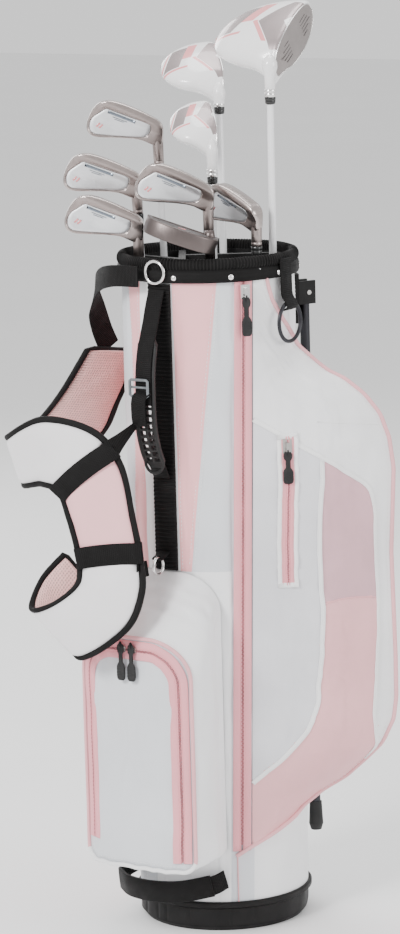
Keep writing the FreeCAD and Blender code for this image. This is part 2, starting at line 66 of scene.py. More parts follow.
FRONT = Vector((0, -1, 0))
UP = Vector((0, 0, 1))

VIEW_DEG = 34.0                 # the camera stands this far round from -Y towards +X
RIGHT = Vector((cos(radians(VIEW_DEG)), sin(radians(VIEW_DEG)), 0))
AWAY = Vector((-RIGHT.y, RIGHT.x, 0))


def vec(x, y, z=0.0):
    return Vector((x, y, z))


def millimetres(points):
    return [Vector(p) * MM for p in points]


def polar(r, deg, z=0.0):
    return vec(r * cos(radians(deg)), r * sin(radians(deg)), z)


def outward(p):
    """The level direction from the bag's axis to a point."""
    return vec(p.x, p.y, 0).normalized()


def from_axis(p):
    return sqrt(p.x * p.x + p.y * p.y)


def clamp(x, lo=0.0, hi=1.0):
    return max(lo, min(hi, x))


def ease(x):
    x = clamp(x)
    return x * x * (3 - 2 * x)


def lerp(a, b, f):
    return a + (b - a) * f


def between(table, x):
    """Straight-line reading of (x, value) pairs."""
    if x <= table[0][0]:
        return table[0][1]
    for (x0, y0), (x1, y1) in zip(table, table[1:]):
        if x <= x1:
            return y0 + (y1 - y0) * (x - x0) / (x1 - x0)
    return table[-1][1]


def bowed(a, m, b, f):
    """A point on the parabola through three points, at fraction f."""
    return a * ((1 - f) * (1 - 2 * f)) + m * (4 * f * (1 - f)) + b * (f * (2 * f - 1))


def curve_points(points, steps, closed=False):
    """A smooth curve through given points, steps pieces to each span."""
    n = len(points)
    out = []
    for i in range(n if closed else n - 1):
        if closed:
            p0, p1, p2, p3 = (points[(i + k) % n] for k in (-1, 0, 1, 2))
        else:
            p0, p1, p2, p3 = points[max(i - 1, 0)], points[i], points[i + 1], points[min(i + 2, n - 1)]
        for s in range(steps):
            t = s / steps
            out.append(0.5 * ((2 * p1) + (p2 - p0) * t + (2 * p0 - 5 * p1 + 4 * p2 - p3) * t * t
                              + (3 * p1 - p0 - 3 * p2 + p3) * t * t * t))
    if not closed:
        out.append(points[-1].copy())
    return out


def tangent(path, i):
    return (path[min(i + 1, len(path) - 1)] - path[max(i - 1, 0)]).normalized()


def sides_of(path, normals):
    """The direction across a path that lies on a surface."""
    return [tangent(path, i).cross(n).normalized() for i, n in enumerate(normals)]


def marks_along(path):
    """The distance from a path's start to each of its points."""
    marks = [0.0]
    for a, b in zip(path, path[1:]):
        marks.append(marks[-1] + (b - a).length)
    return marks


def places(path, normals, pitch, start, spare):
    """Evenly spaced places along a path: (point, tangent, normal, side)."""
    marks = marks_along(path)
    i, d = 0, start
    while d < marks[-1] - spare:
        while marks[i + 1] < d:
            i += 1
        f = (d - marks[i]) / max(marks[i + 1] - marks[i], 1e-9)
        t = (path[i + 1] - path[i]).normalized()
        n = normals[i].lerp(normals[i + 1], f).normalized()
        yield path[i].lerp(path[i + 1], f), t, n, t.cross(n).normalized()
        d += pitch


def folds(x, y, z, size, depth):
    """Soft cloth folds: layered noise, size in metres."""
    return depth * noise.fractal(vec(x, y, z) / size, 0.9, 2.1, 3, noise_basis="PERLIN_ORIGINAL")


def settle(thing, **values):
    for key, value in values.items():
        setattr(thing, key, value)


# ------------------------------------------------------------------ materials
class Nodes:
    """Small wrapper round a material's node tree."""

    def __init__(self, name):
        self.mat = bpy.data.materials.new(name)
        self.mat.use_nodes = True
        self.tree = self.mat.node_tree
        self.shader = self.tree.nodes["Principled BSDF"]

    def add(self, kind, **inputs):
        node = self.tree.nodes.new("ShaderNode" + kind)
        for key, value in inputs.items():
            self.put(node.inputs[key.replace("_", " ")], value)
        return node

    def put(self, socket, value):
        """Sets an input to a plain value, or links it to another node's output."""
        if isinstance(value, bpy.types.NodeSocket):
            self.tree.links.new(value, socket)
        else:
            socket.default_value = value

    def coords(self, scale, uv=False):
        source = self.add("TexCoord").outputs["UV" if uv else "Object"]
        return self.add("Mapping", Scale=scale, Vector=source).outputs["Vector"]

    def noise(self, scale, detail=3.0, stretch=(1, 1, 1)):
        return self.add("TexNoise", Scale=scale, Detail=detail, Vector=self.coords(stretch)).outputs["Fac"]

    def math(self, op, a, b=None):
        node = self.add("Math")
        node.operation = op
        for i, value in enumerate((a, b)):
            if value is not None:
                self.put(node.inputs[i], value)
        return node.outputs[0]

    def remap(self, fac, lo, hi, low=0.3, high=0.7):
        return self.add("MapRange", From_Min=low, From_Max=high, To_Min=lo, To_Max=hi,
                        Value=fac).outputs["Result"]

    def mix(self, fac, a, b):
        node = self.tree.nodes.new("ShaderNodeMix")
        node.data_type = "RGBA"
        for i, value in ((0, fac), (6, a), (7, b)):
            self.put(node.inputs[i], (*value[:3], 1) if isinstance(value, tuple) else value)
        return node.outputs[2]

    def bump(self, height, distance, strength=1.0, after=None):
        node = self.add("Bump", Distance=distance, Strength=strength, Height=height)
        if after is not None:
            self.put(node.inputs["Normal"], after)
        return node.outputs["Normal"]

    def wave(self, pitch, direction, uv=True):
        band = 0.314159             # one band of Blender's wave at scale 1 is pi/10 units wide
        tex = self.add("TexWave", Scale=1.0, Vector=self.coords((band / pitch,) * 3, uv))
        settle(tex, wave_type="BANDS", bands_direction=direction, wave_profile="SIN")
        return tex.outputs["Fac"]

    def shading(self, **values):
        """Gives the shader's inputs their values and returns the finished material."""
        for key, value in values.items():
            self.put(self.shader.inputs[key.replace("_", " ")], value)
        return self.mat

    def surface(self, tone, color, dark, light, grain, rough_lo, rough_hi, normal, **values):
        """A colour between two shades of itself, with relief. grain is the roughness noise or its scale."""
        fac = grain if isinstance(grain, bpy.types.NodeSocket) else self.noise(grain)
        return self.shading(Base_Color=self.mix(tone, shade(color, dark), shade(color, light)),
                            Roughness=self.remap(fac, rough_lo, rough_hi), Normal=normal, **values)


def shade(c, f):
    return tuple(clamp(x * f) for x in c[:3])


def fabric(name, color, pitch=0.0007, weave=0.00008, vary=0.05, sheen=0.15, crease=0.0012, uv=True,
           spec=0.35):
    """Coated woven cloth: crossed threads, soft creases, a little unevenness in tone."""
    m = Nodes(name)
    cloth = m.math("ADD", m.wave(pitch, "X", uv), m.wave(pitch, "Y", uv))
    creases = m.bump(m.noise(22.0, 4.0, (1, 1, 0.45)), crease, 0.7)
    return m.surface(m.remap(m.noise(9.0, 4.0), 0, 1), color, 1 - vary, 1 + vary, 60.0, 0.49, 0.63,
                     m.bump(cloth, weave, 0.5, creases), Sheen_Weight=sheen, Specular_IOR_Level=spec)


def webbing(name, color, pitch=0.0024):
    """Flat woven webbing: ribs across and twill between, with painted shade in the grooves and painted
    highlight on the ribs.
    """
    m = Nodes(name)
    rib = m.math("MULTIPLY", m.wave(pitch, "X"), 0.7)
    both = m.math("ADD", rib, m.math("MULTIPLY", m.wave(pitch * 0.7, "DIAGONAL"), 0.3))
    # the colour follows the rib height: painted shade in the grooves, painted highlight on the crests
    return m.surface(both, color, 0.55, 1.5, 80.0, 0.54, 0.72, m.bump(both, 0.0006, 0.9),
                     Sheen_Weight=0.02, Specular_IOR_Level=0.12)


def air_mesh(name, color):
    """Spacer mesh: rows of small holes in knitted cloth, darkened in colour as painted shade."""
    m = Nodes(name)
    cells = m.add("TexVoronoi", Scale=1.0, Randomness=0.15, Vector=m.coords((260, 260, 260), True))
    hole = m.remap(cells.outputs["Distance"], 0, 1, 0.18, 0.42)
    # the holes are darker in colour: painted shade where they sink into the mesh
    return m.surface(hole, color, 0.62, 1.0, 50.0, 0.68, 0.85, m.bump(hole, 0.0009, 0.8), Sheen_Weight=0.3)


def ribbed_cloth(name, color, pitch=0.0042):
    m = Nodes(name)
    rib = m.wave(pitch, "X")
    # the colour follows the ribs: painted shade in the troughs, painted highlight on the crests
    return m.surface(rib, color, 0.5, 1.7, 90.0, 0.6, 0.8, m.bump(rib, 0.0012, 0.9),
                     Sheen_Weight=0.02, Specular_IOR_Level=0.12)


def moulded(name, color, rough=0.45, grain=900.0, depth=0.00012, spec=0.5):
    m = Nodes(name)
    return m.surface(m.remap(m.noise(30.0, 4.0), 0, 1), color, 0.75, 1.35, 45.0, rough - 0.08, rough + 0.12,
                     m.bump(m.noise(grain, 2.0), depth, 0.6), Specular_IOR_Level=spec)


def metal(name, color, rough=0.3, brush=(1, 1, 30)):
    m = Nodes(name)
    streak = m.noise(140.0, 3.0, brush)
    return m.surface(m.remap(m.noise(24.0, 5.0), 0, 1), color, 0.86, 1.08, streak, rough - 0.06, rough + 0.1,
                     m.bump(streak, 0.00006, 0.4), Metallic=1.0)


def lacquer(name, color):
    """Clear-coated paint with a faint orange-peel surface."""
    m = Nodes(name)
    return m.surface(m.remap(m.noise(16.0, 4.0), 0, 1), color, 0.97, 1.02, 70.0, 0.18, 0.30,
                     m.bump(m.noise(420.0, 1.0), 0.00003, 0.5), Coat_Weight=0.8, Coat_Roughness=0.06)


WHITE = (0.86, 0.86, 0.87)
GREY_WHITE = (0.67, 0.67, 0.70)
PINK = (0.92, 0.45, 0.47)
ROSE = (0.84, 0.34, 0.38)
BLACK = (0.006, 0.0055, 0.0055)
SOFT_BLACK = (0.007, 0.0065, 0.0065)
HEAD_PINK = (0.80, 0.26, 0.27)
ALONG_LEG = (1, 1, 0.05)
ALONG_HEAD = (1, 1, 8)

MAT = {
    "white": fabric("white_nylon", WHITE, crease=0.0018),
    "grey": fabric("grey_white_nylon", GREY_WHITE, vary=0.09, crease=0.002),
    "pale": fabric("pale_nylon", (0.66, 0.68, 0.71)),
    "pink": fabric("pink_nylon", PINK),
    "mauve": fabric("lined_pink_nylon", (0.62, 0.37, 0.41), vary=0.10, crease=0.0024),
    "rose": fabric("rose_lined_nylon", (0.80, 0.42, 0.44), vary=0.06, crease=0.002),
    "tape": fabric("pink_zip_tape", ROSE, pitch=0.0012, weave=0.0002, crease=0.0002),
    "piping": fabric("pink_piping", (0.80, 0.40, 0.43), pitch=0.001, crease=0.0002),
    "welt": fabric("white_welt", (0.86, 0.86, 0.86), pitch=0.0009, crease=0.0002),
    "pad": fabric("white_pad_cloth", (0.78, 0.76, 0.77), pitch=0.0009, weave=0.00012, crease=0.0006,
                  sheen=0.3),
    "yoke": fabric("pink_yoke_cloth", (0.88, 0.47, 0.49), pitch=0.0009, weave=0.00012, crease=0.0005,
                   sheen=0.3),
    "mesh": air_mesh("pink_air_mesh", (0.86, 0.50, 0.47)),
    "web": webbing("black_webbing", BLACK),
    "binding": fabric("black_binding", SOFT_BLACK, pitch=0.0016, weave=0.0003, crease=0.0003, vary=0.3,
                      sheen=0.02,
                      spec=0.12),
    "collar": ribbed_cloth("black_collar_cloth", SOFT_BLACK),
    "divider": fabric("divider_padding", (0.010, 0.0095, 0.0095), pitch=0.0016, weave=0.0003, vary=0.3,
                      uv=False,
                      spec=0.12),
    "lining": fabric("dark_lining", (0.02, 0.02, 0.021), vary=0.2, spec=0.12),
    "thread": fabric("white_thread", (0.84, 0.84, 0.84), pitch=0.001, crease=0.0001),
    "coil": moulded("rose_coil", (0.42, 0.14, 0.16), 0.4),
    "plastic": moulded("black_moulding", SOFT_BLACK, 0.5, spec=0.2),
    "rubber": moulded("black_rubber", (0.008, 0.008, 0.008), 0.55, 1400.0, 0.0002, 0.4),
    "grip": moulded("grip_rubber", (0.02, 0.02, 0.02), 0.7, 700.0, 0.0006, 0.35),
    "buckle": moulded("grey_buckle", (0.12, 0.13, 0.14), 0.35),
    "groove": moulded("dark_groove", (0.12, 0.11, 0.11), 0.6),
    "ferrule": moulded("black_ferrule", (0.01, 0.01, 0.01), 0.18, 300.0, 0.00002, 0.6),
    "dark_ring": metal("coated_ring", (0.045, 0.045, 0.05), 0.36),
    "chrome": metal("chrome", (0.86, 0.85, 0.84), 0.14),
    "zinc": metal("die_cast_zinc", (0.52, 0.50, 0.48)),
    "rod": metal("spring_wire", (0.30, 0.30, 0.31), 0.35),
    "leg": metal("anodised_leg", (0.045, 0.045, 0.05), 0.38, ALONG_LEG),
    "iron": metal("cast_steel", (0.36, 0.305, 0.29), 0.34, ALONG_HEAD),
    "iron_edge": metal("polished_steel", (0.50, 0.44, 0.42), 0.2, ALONG_HEAD),
    "badge": metal("satin_badge", (0.80, 0.81, 0.83), 0.42, (20, 1, 1)),
    "badge_bar": metal("blue_grey_bar", (0.22, 0.25, 0.29), 0.25),
    "mallet": metal("dark_satin_steel", (0.15, 0.125, 0.12), 0.38, (8, 1, 1)),
    "face": metal("satin_face", (0.42, 0.38, 0.37), 0.36, (1, 12, 1)),
    "shaft": lacquer("white_shaft_lacquer", (0.82, 0.82, 0.83)),
    "head_white": lacquer("white_head_lacquer", (0.84, 0.83, 0.83)),
    "head_pink": lacquer("pink_head_lacquer", HEAD_PINK),
}


# ------------------------------------------------------------------ mesh helpers
def piece(name, verts, faces, mats, body=BAG, index=None, uvs=None, smooth=True):
    """A mesh object that rides on a body. index holds the faces' materials, uvs the cloth places."""
    mesh = bpy.data.meshes.new(name)
    mesh.from_pydata([tuple(v) for v in verts], [], faces)
    for m in mats if isinstance(mats, list) else [mats]:
        mesh.materials.append(MAT[m])
    if index:
        mesh.polygons.foreach_set("material_index", index)
    if uvs:
        layer = mesh.uv_layers.new(name="UVMap")
        for loop in mesh.loops:
            layer.data[loop.index].uv = uvs[loop.vertex_index]
    mesh.polygons.foreach_set("use_smooth", [smooth] * len(mesh.polygons))
    mesh.validate()
    mesh.update()
    obj = bpy.data.objects.new(name, mesh)
    bpy.context.scene.collection.objects.link(obj)
    if body:
        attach(obj, body)
    return obj


def grid_faces(rows, cols, wrap_cols=False, wrap_rows=False, start=0):
    faces = []
    for i in range(rows if wrap_rows else rows - 1):
        for j in range(cols if wrap_cols else cols - 1):
            here, ahead = start + i * cols, start + ((i + 1) % rows) * cols
            k = (j + 1) % cols
            faces.append((here + j, here + k, ahead + k, ahead + j))
    return faces


def ring_faces(total, n, closed=False, turned_in=False):
    """Faces round rings of n points, with end caps unless the rings meet; turned_in flips the caps."""
    faces = grid_faces(total // n, n, True, closed)
    if not closed:
        step = -1 if turned_in else 1
        faces += [tuple(range(n))[::-step], tuple(range(total - n, total))[::step]]
    return faces


def tube(name, path, r, mat, body=BAG, sides=8, closed=False):
    """A round cord along a path, carried along without twisting."""
    verts, uvs = [], []
    side = None
    for i, (p, length) in enumerate(zip(path, marks_along(path))):
        t = tangent(path, i)
        if side is None:
            side = t.cross(UP if abs(t.z) < 0.9 else X_WAY).normalized()
        side = (side - t * side.dot(t)).normalized()
        for k in range(sides):
            a = 2 * pi * k / sides
            verts.append(p + side * (r * cos(a)) + t.cross(side) * (r * sin(a)))
            uvs.append((length, r * a))
    return piece(name, verts, ring_faces(len(verts), sides, closed), mat, body, None, uvs)


WEB_PROFILE = [(-0.5, -0.3), (-0.47, -0.5), (0, -0.5), (0.47, -0.5), (0.5, -0.3), (0.5, 0.3), (0.47, 0.5),
               (0, 0.5),
               (-0.47, 0.5), (-0.5, 0.3)]


def ribbon(name, path, sides, width, thick, mat, body=BAG, belly=0.0):
    """Flat webbing along a path. sides gives the direction of its width, one for all or one at each point."""
    verts, uvs = [], []
    if isinstance(sides, Vector):
        sides = [sides] * len(path)
    for i, (p, length) in enumerate(zip(path, marks_along(path))):
        t = tangent(path, i)
        s = (sides[i] - t * sides[i].dot(t)).normalized()
        w = width(i / (len(path) - 1)) if callable(width) else width
        for a, b in WEB_PROFILE:
            verts.append(p + s * (a * w) + s.cross(t) * (b * thick + belly * (1 - (2 * a) ** 2)))
            uvs.append((length, a * w))
    return piece(name, verts, ring_faces(len(verts), len(WEB_PROFILE), False, True), mat, body, None, uvs)


def turned(name, profile, origin, axis, mats, body=BAG, segments=32, split=None):
    """A shape turned about an axis from (along, radius) points. Its second material starts at row split."""
    axis = axis.normalized()
    s = axis.cross(X_WAY if abs(axis.x) < 0.9 else vec(0, 1, 0)).normalized()
    t = axis.cross(s)
    verts, uvs = [], []
    for along, r in profile:
        for k in range(segments):
            a = 2 * pi * k / segments
            verts.append(origin + axis * along + (s * cos(a) + t * sin(a)) * r)
            uvs.append((r * a, along))
    index = None
    if split is not None:
        index = [int(i >= split) for i in range(len(profile) - 1) for _ in range(segments)]
        index += [index[0], index[-1]]
    return piece(name, verts, ring_faces(len(verts), segments), mats, body, index, uvs)


def joined(name, parts, body=BAG):
    """Several pieces made into one object."""
    for p in parts:
        p.parent = None
    keep = parts[0]
    with bpy.context.temp_override(active_object=keep, selected_editable_objects=parts, object=keep):
        bpy.ops.object.join()
    keep.name = name
    keep.data.name = name
    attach(keep, body)
    return keep


CLOTH_FRAMES = 20


def inflate(obj, pinned, pressure, cap, stiff):
    """Cloth simulation: air pressure swells a piece between its pinned seams, no point further than cap."""
    group = obj.vertex_groups.new(name="pin")
    group.add(pinned, 1.0, "REPLACE")
    before = [v.co.copy() for v in obj.data.vertices]
    mod = obj.modifiers.new("cloth", "CLOTH")
    settle(mod.settings, quality=5, mass=0.25, tension_stiffness=stiff, compression_stiffness=stiff,
           shear_stiffness=stiff * 0.6, bending_stiffness=0.3, air_damping=2.0, use_pressure=True,
           uniform_pressure_force=pressure, shrink_min=0.0, vertex_group_mass="pin")
    mod.settings.effector_weights.gravity = 0.0
    mod.collision_settings.use_collision = False
    settle(mod.point_cache, frame_start=1, frame_end=CLOTH_FRAMES)
    scene = bpy.context.scene
    for f in range(1, CLOTH_FRAMES + 1):
        scene.frame_set(f)
    done = obj.evaluated_get(bpy.context.evaluated_depsgraph_get())
    after = [v.co.copy() for v in done.data.vertices]
    obj.modifiers.remove(mod)
    scene.frame_set(1)
    for v, a, b in zip(obj.data.vertices, after, before):
        d = a - b
        v.co = b + (d if d.length <= cap else d * (cap / d.length))
    obj.vertex_groups.clear()
    obj.data.update()


def subdivide(obj):
    settle(obj.modifiers.new("smooth", "SUBSURF"), levels=1, render_levels=1)


# A stitch's rows of points: along, height, half width.
STITCH = ((-0.5, -0.2, 0.7), (-0.25, 1.0, 1.0), (0.25, 1.0, 1.0), (0.5, -0.2, 0.7))


def stitches(name, path, normals, pitch=0.0042, length=0.0026, r=0.00035, mat="thread", body=BAG):
    """A row of short sewn threads lying on a surface along a path."""
    verts, faces = [], []
    if isinstance(normals, Vector):
        normals = [normals] * len(path)
    for p, t, n, s in places(path, normals, pitch, pitch * 0.5, length):
        base = len(verts)
        for along, height, half in STITCH:
            c = p + t * (along * length)
            verts += [c - s * (r * half), c + n * (r * height), c + s * (r * half)]
        for q in (base, base + 3, base + 6):
            faces += [(q, q + 3, q + 4, q + 1), (q + 1, q + 4, q + 5, q + 2)]
    return piece(name, verts, faces, mat, body)


# ------------------------------------------------------------------ camera, floor and light
def camera():
    pitch, yaw, roll = 0.176, -0.0031, -0.0279      # radians, solved from the bag's rim and base
    ahead = RIGHT * (sin(yaw) * cos(pitch)) + AWAY * (cos(yaw) * cos(pitch)) - UP * sin(pitch)
    level = RIGHT * cos(yaw) - AWAY * sin(yaw)
    over = level.cross(ahead)
    right = level * cos(roll) + over * sin(roll)
    up = over * cos(roll) - level * sin(roll)
    data = bpy.data.cameras.new("camera")
    settle(data, lens=143.65, sensor_width=36.0, clip_end=60.0)
    cam = bpy.data.objects.new("camera", data)
    pose = Matrix((right, up, -ahead)).transposed().to_4x4()
    pose.translation = RIGHT * -0.0027 + AWAY * -4.7465 + UP * 1.4351
    cam.matrix_world = pose
    bpy.context.scene.collection.objects.link(cam)
    bpy.context.scene.camera = cam


def area_light(name, place, target, size, power):
    data = bpy.data.lights.new(name, "AREA")
    settle(data, shape="DISK", size=size, energy=power)
    lamp = bpy.data.objects.new(name, data)
    lamp.location = place
    lamp.rotation_euler = (target - place).to_track_quat("-Z", "Y").to_euler()
    bpy.context.scene.collection.objects.link(lamp)


def studio():
    m = Nodes("studio_floor")
    MAT["floor"] = m.shading(Base_Color=m.mix(m.noise(1.5), (0.86, 0.86, 0.86), (0.9, 0.9, 0.9)),
                             Roughness=0.7)
    half = 14.0
    corners = [(-half, -half, 0), (half, -half, 0), (half, half, 0), (-half, half, 0)]
    floor = piece("floor", corners, [(0, 1, 2, 3)], "floor", None)
    world = bpy.data.worlds.new("studio")
    world.use_nodes = True
    sky = world.node_tree.nodes["Background"].inputs
    sky["Color"].default_value = (1.0, 1.0, 1.0, 1)
    sky["Strength"].default_value = 1.05
    bpy.context.scene.world = world
    middle = vec(0, 0, 0.6)
    area_light("key", RIGHT * -2.2 - AWAY * 2.6 + UP * 2.6, middle, 1.2, 150)
    area_light("fill", RIGHT * 2.8 - AWAY * 1.6 + UP * 1.6, middle, 1.8, 45)
    area_light("top", RIGHT * 0.3 + AWAY * 0.6 + UP * 3.2, middle, 1.6, 40)
    area_light("rear", RIGHT * -1.5 + AWAY * 3.0 + UP * 1.8, middle, 1.8, 40)


# ------------------------------------------------------------------ bag tube and its panels
ZIP_TOP = 0.858
ZIP_FOOT = 0.106


def zip_deg(z):
    """Where the main zipper runs round the bag at height z."""
    return -33.0 + (ZIP_TOP - z) / (ZIP_TOP - ZIP_FOOT) * -11.0


PANEL_Z = 0.47                  # the front panels change cloth at this height


def tube_panels(z):
    """(angle where a panel ends, its cloth), going round from -180 degrees."""
    low = z < PANEL_Z
    pink_edge = -60.0 if z < 0.45 else lerp(-73.0, -50.0, clamp((z - PANEL_Z) / 0.387))
    return [(-146.0, "pink"), (-124.0, "pale"), (-108.6, "pale" if low else "pink"), (-100.0, "white"),
            (-81.0, "white"), (pink_edge, "white" if low else "pink"),
            (zip_deg(z) - 7.0, "white" if low else "pale"),
            (zip_deg(z) + 9.0, "pale"), (36.0, "white"), (62.0, "white"), (118.0, "pale"), (150.0, "white"),
            (180.0, "pink")]


SEGMENT_COLUMNS = (8, 6, 5, 3, 5, 10, 8, 5, 20, 8, 14, 8, 8)
SEAM = 0.75                     # degrees of a sewn joint each side of its line
# The underside of the boot rises behind SLOPE_Y, with a bay for the kick lever.
SLOPE_Y = 0.035
SLOPE_DEG = 23.8
LEVER_HALF = 0.047
LEVER_BAY = 0.0064


BOOT_ROWS = 6
LIP = BOOT_TOP - 0.002          # the moulded boot ends here and the cloth starts
SKIN_ROWS = 190
LINING_COLS = 96
LINING_R = TUBE_R - 0.0042
STITCHED_Z = (0.05, 0.84)       # the seams' threads are seen between these heights


def panel_ring(z):
    """Places round the tube at height z: (angle, whether it is the seam itself, its cloth)."""
    ring, start = [], -180.0
    for (end, kind), n in zip(tube_panels(z), SEGMENT_COLUMNS):
        near = SEAM / (end - start)
        for m, f in enumerate([0.0, near] + [near + (1 - 2 * near) * k / n for k in range(1, n + 1)]):
            ring.append((start + (end - start) * f, m == 0, kind))
        start = end
    return ring


def boot_underside(p, i, z0):
    """How low the boot's wall reaches in direction p, row i of its rows."""
    rise = max(p.y * TUBE_R - SLOPE_Y, 0.0) * tan(radians(SLOPE_DEG))
    bay = LEVER_BAY if rise > 0 and abs(p.x) * TUBE_R < LEVER_HALF else 0.0
    return min(z0 + rise + bay, LIP - 0.0002 * (BOOT_ROWS - i))


def bag_skin():
    z0, z1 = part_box("bag_tube")[0].z, TUBE_TOP
    verts, index, uvs = [], [], []
    names = ["white", "pale", "pink", "lining", "plastic"]
    for i in range(SKIN_ROWS + 1):
        boot = i < BOOT_ROWS
        z = lerp(z0, LIP, i / BOOT_ROWS) if boot else lerp(LIP, z1, (i - BOOT_ROWS) / (SKIN_ROWS - BOOT_ROWS))
        free = clamp((z - 0.05) / 0.1) * clamp((0.84 - z) / 0.06)
        ring = panel_ring(z)
        for deg, seam, kind in ring:
            p = polar(1.0, deg)
            drape = folds(p.x * 0.9, p.y * 0.9, z * 0.35, 0.16, 0.0042) * free
            wrinkle = folds(p.x, p.y, z * 2.0, 0.12, 0.0012) * free
            r = TUBE_R - 0.0006 + clamp(drape + wrinkle, -0.0024, 0.0012) - (0.0007 if seam else 0.0)
            verts.append(polar(r, deg, max(z, boot_underside(p, i, z0)) if boot else z))
            uvs.append((radians(deg) * TUBE_R, z))
            if i < SKIN_ROWS:
                index.append(names.index("plastic" if boot else kind))
    cols = len(ring)
    faces = grid_faces(SKIN_ROWS + 1, cols, wrap_cols=True)
    outer = len(verts)
    for i in range(7):
        for k in range(LINING_COLS):
            verts.append(polar(LINING_R, 360.0 * k / LINING_COLS, lerp(LIP + 0.002, z1, i / 6)))
            uvs.append((LINING_R * 2 * pi * k / LINING_COLS, lerp(z0, z1, i / 6)))
    inside = [f[::-1] for f in grid_faces(7, LINING_COLS, wrap_cols=True, start=outer)]
    index += [names.index("lining")] * len(inside)
    skin = piece("bag_skin", verts, faces + inside, names, BAG, index, uvs)
    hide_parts("bag_tube")
    rows = []
    for b in (3, 2, 5, 6, 1, 11, 12, 9, 10):
        column = sum(SEGMENT_COLUMNS[:b]) + 2 * b
        lo, hi = STITCHED_Z if b != 6 else (PANEL_Z, STITCHED_Z[1])
        for side in (-1, 1):
            seam = [v for v in verts[column:(SKIN_ROWS + 1) * cols:3 * cols] if lo <= v.z <= hi]
            normals = [outward(v) for v in seam]
            path = [v + out * 0.0007 + UP.cross(out) * (side * 0.0034) for v, out in zip(seam, normals)]
            rows.append(stitches(f"seam_{b}_{side}", path, normals, 0.005, 0.0032))
    seams = joined("bag_seam_threads", rows)
    below = [polar(TUBE_R + 0.0004, zip_deg(ZIP_FOOT) - 3.0, lerp(LIP, 0.104, k / 12)) for k in range(13)]
    low_seam = tube("low_seam_piping", below, 0.0009, "piping")


def profile_normal(profile, i):
    """Outward normal of an (r, z) profile that runs from inside, over the top, to outside."""
    a = profile[max(i - 1, 0)]
    b = profile[min(i + 1, len(profile) - 1)]
    dr, dz = b[0] - a[0], b[1] - a[1]
    size = max(sqrt(dr * dr + dz * dz), 1e-9)
    return -dz / size, dr / size


def collar():
    """The padded mouth of the bag: a ribbed roll over a plain band with rivets."""
    cols, ribs, segs = 720, 180, 240
    roll = [(MOUTH_R + 0.0004, COLLAR_Z0 + 0.001), (MOUTH_R + 0.0003, COLLAR_Z0 + 0.010)]
    centre_r = (MOUTH_R + COLLAR_R) / 2
    half_w = (COLLAR_R - MOUTH_R) / 2
    half_h = 0.0085
    zc = BAG_TOP - half_h
    for k in range(13):
        a = pi - pi * 1.28 * k / 12
        roll.append((centre_r + (half_w - 0.0006) * cos(a),
                     zc + half_h * sin(a) * (1 if sin(a) > 0 else 0.9)))
    verts, uvs, length = [], [], 0.0
    for i, (r, z) in enumerate(roll):
        if i:
            length += sqrt((r - roll[i - 1][0]) ** 2 + (z - roll[i - 1][1]) ** 2)
        nr, nz = profile_normal(roll, i)
        for k in range(cols):
            a = 2 * pi * k / cols
            swell = 0.00045 * (cos(ribs * a) - 1.0) * clamp(i / 2) \
                + 0.0006 * noise.noise(vec(cos(a) * 3, sin(a) * 3, i * 0.2))
            verts.append(vec((r + swell * nr) * cos(a), (r + swell * nr) * sin(a),
                             min(z + swell * nz, BAG_TOP)))
            uvs.append((a * centre_r, length))
    ring = piece("collar_roll", verts, grid_faces(len(roll), cols, wrap_cols=True), "collar", BAG, None, uvs)
    band_profile = [(0.1125, COLLAR_Z0 - 0.002), (0.1158, COLLAR_Z0 - 0.0014), (BAND_R, COLLAR_Z0 + 0.001),
                    (0.1168, COLLAR_Z0 + 0.009), (0.1162, COLLAR_Z0 + 0.0125), (0.1145, COLLAR_Z0 + 0.0145),
                    (CLOTH_R, COLLAR_Z0 + 0.0172)]
    verts, uvs = [], []
    for r, z in band_profile:
        for k in range(segs):
            a = 2 * pi * k / segs
            verts.append(polar(r + 0.0002 * noise.noise(vec(cos(a) * 9, sin(a) * 9, z * 60)), degrees(a), z))
            uvs.append((a * r, z))
    faces = grid_faces(len(band_profile), segs, wrap_cols=True)
    band = piece("collar_band", verts, faces, "binding", BAG, None, uvs)
    rows = []
    for dz in (0.0022, 0.0088):
        path = [polar(BAND_R + 0.0005, 2.5 * k, COLLAR_Z0 + dz) for k in range(145)]
        normals = [outward(p) for p in path]
        rows.append(stitches(f"collar_row_{dz}", path, normals, 0.004, 0.0026, 0.0003, "binding"))
    threads = joined("collar_threads", rows)
    dome = [(0, 0.0036), (0.0006, 0.0037), (0.0012, 0.0031), (0.0016, 0.0020), (0.0018, 0.0008),
            (0.0018, 0.0001)]
    rivets = []
    for deg in range(-78, 282, 36):
        place = polar(BAND_R, deg, COLLAR_Z0 + 0.0052)
        rivets.append(turned(f"rivet_{deg}", dome, place, polar(1.0, deg), "chrome", BAG, 20))
    studs = joined("collar_rivets", rivets)
    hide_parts("top_collar")


# ------------------------------------------------------------------ apparel pocket
# Its outer edge: height, distance from the bag's axis and angle round it.
WING_EDGE = [(0.114, 0.1125, -36.0), (0.130, 0.1128, -15.0), (0.145, 0.1130, 8.0), (0.150, 0.1145, 12.0),
             (0.165, 0.1350, 22.0), (0.181, 0.163, 25.0), (0.205, 0.190, 25.0), (0.227, 0.212, 25.0),
             (0.259, 0.227, 25.0), (0.288, 0.231, 25.0), (0.343, 0.231, 25.0), (0.480, 0.228, 25.0),
             (0.590, 0.233, 25.0), (0.629, 0.228, 25.0), (0.660, 0.217, 25.0), (0.686, 0.197, 25.0),
             (0.706, 0.172, 25.0), (0.717, 0.150, 24.5), (0.735, 0.130, 23.0), (0.752, 0.1150, 18.0),
             (0.771, 0.1130, 9.0), (0.792, 0.1126, -2.0), (0.816, 0.1125, -11.0), (0.838, 0.1125, -15.0),
             (0.859, 0.1125, -18.0)]
FACE_COLS = 60
GUSSET_COLS = 14
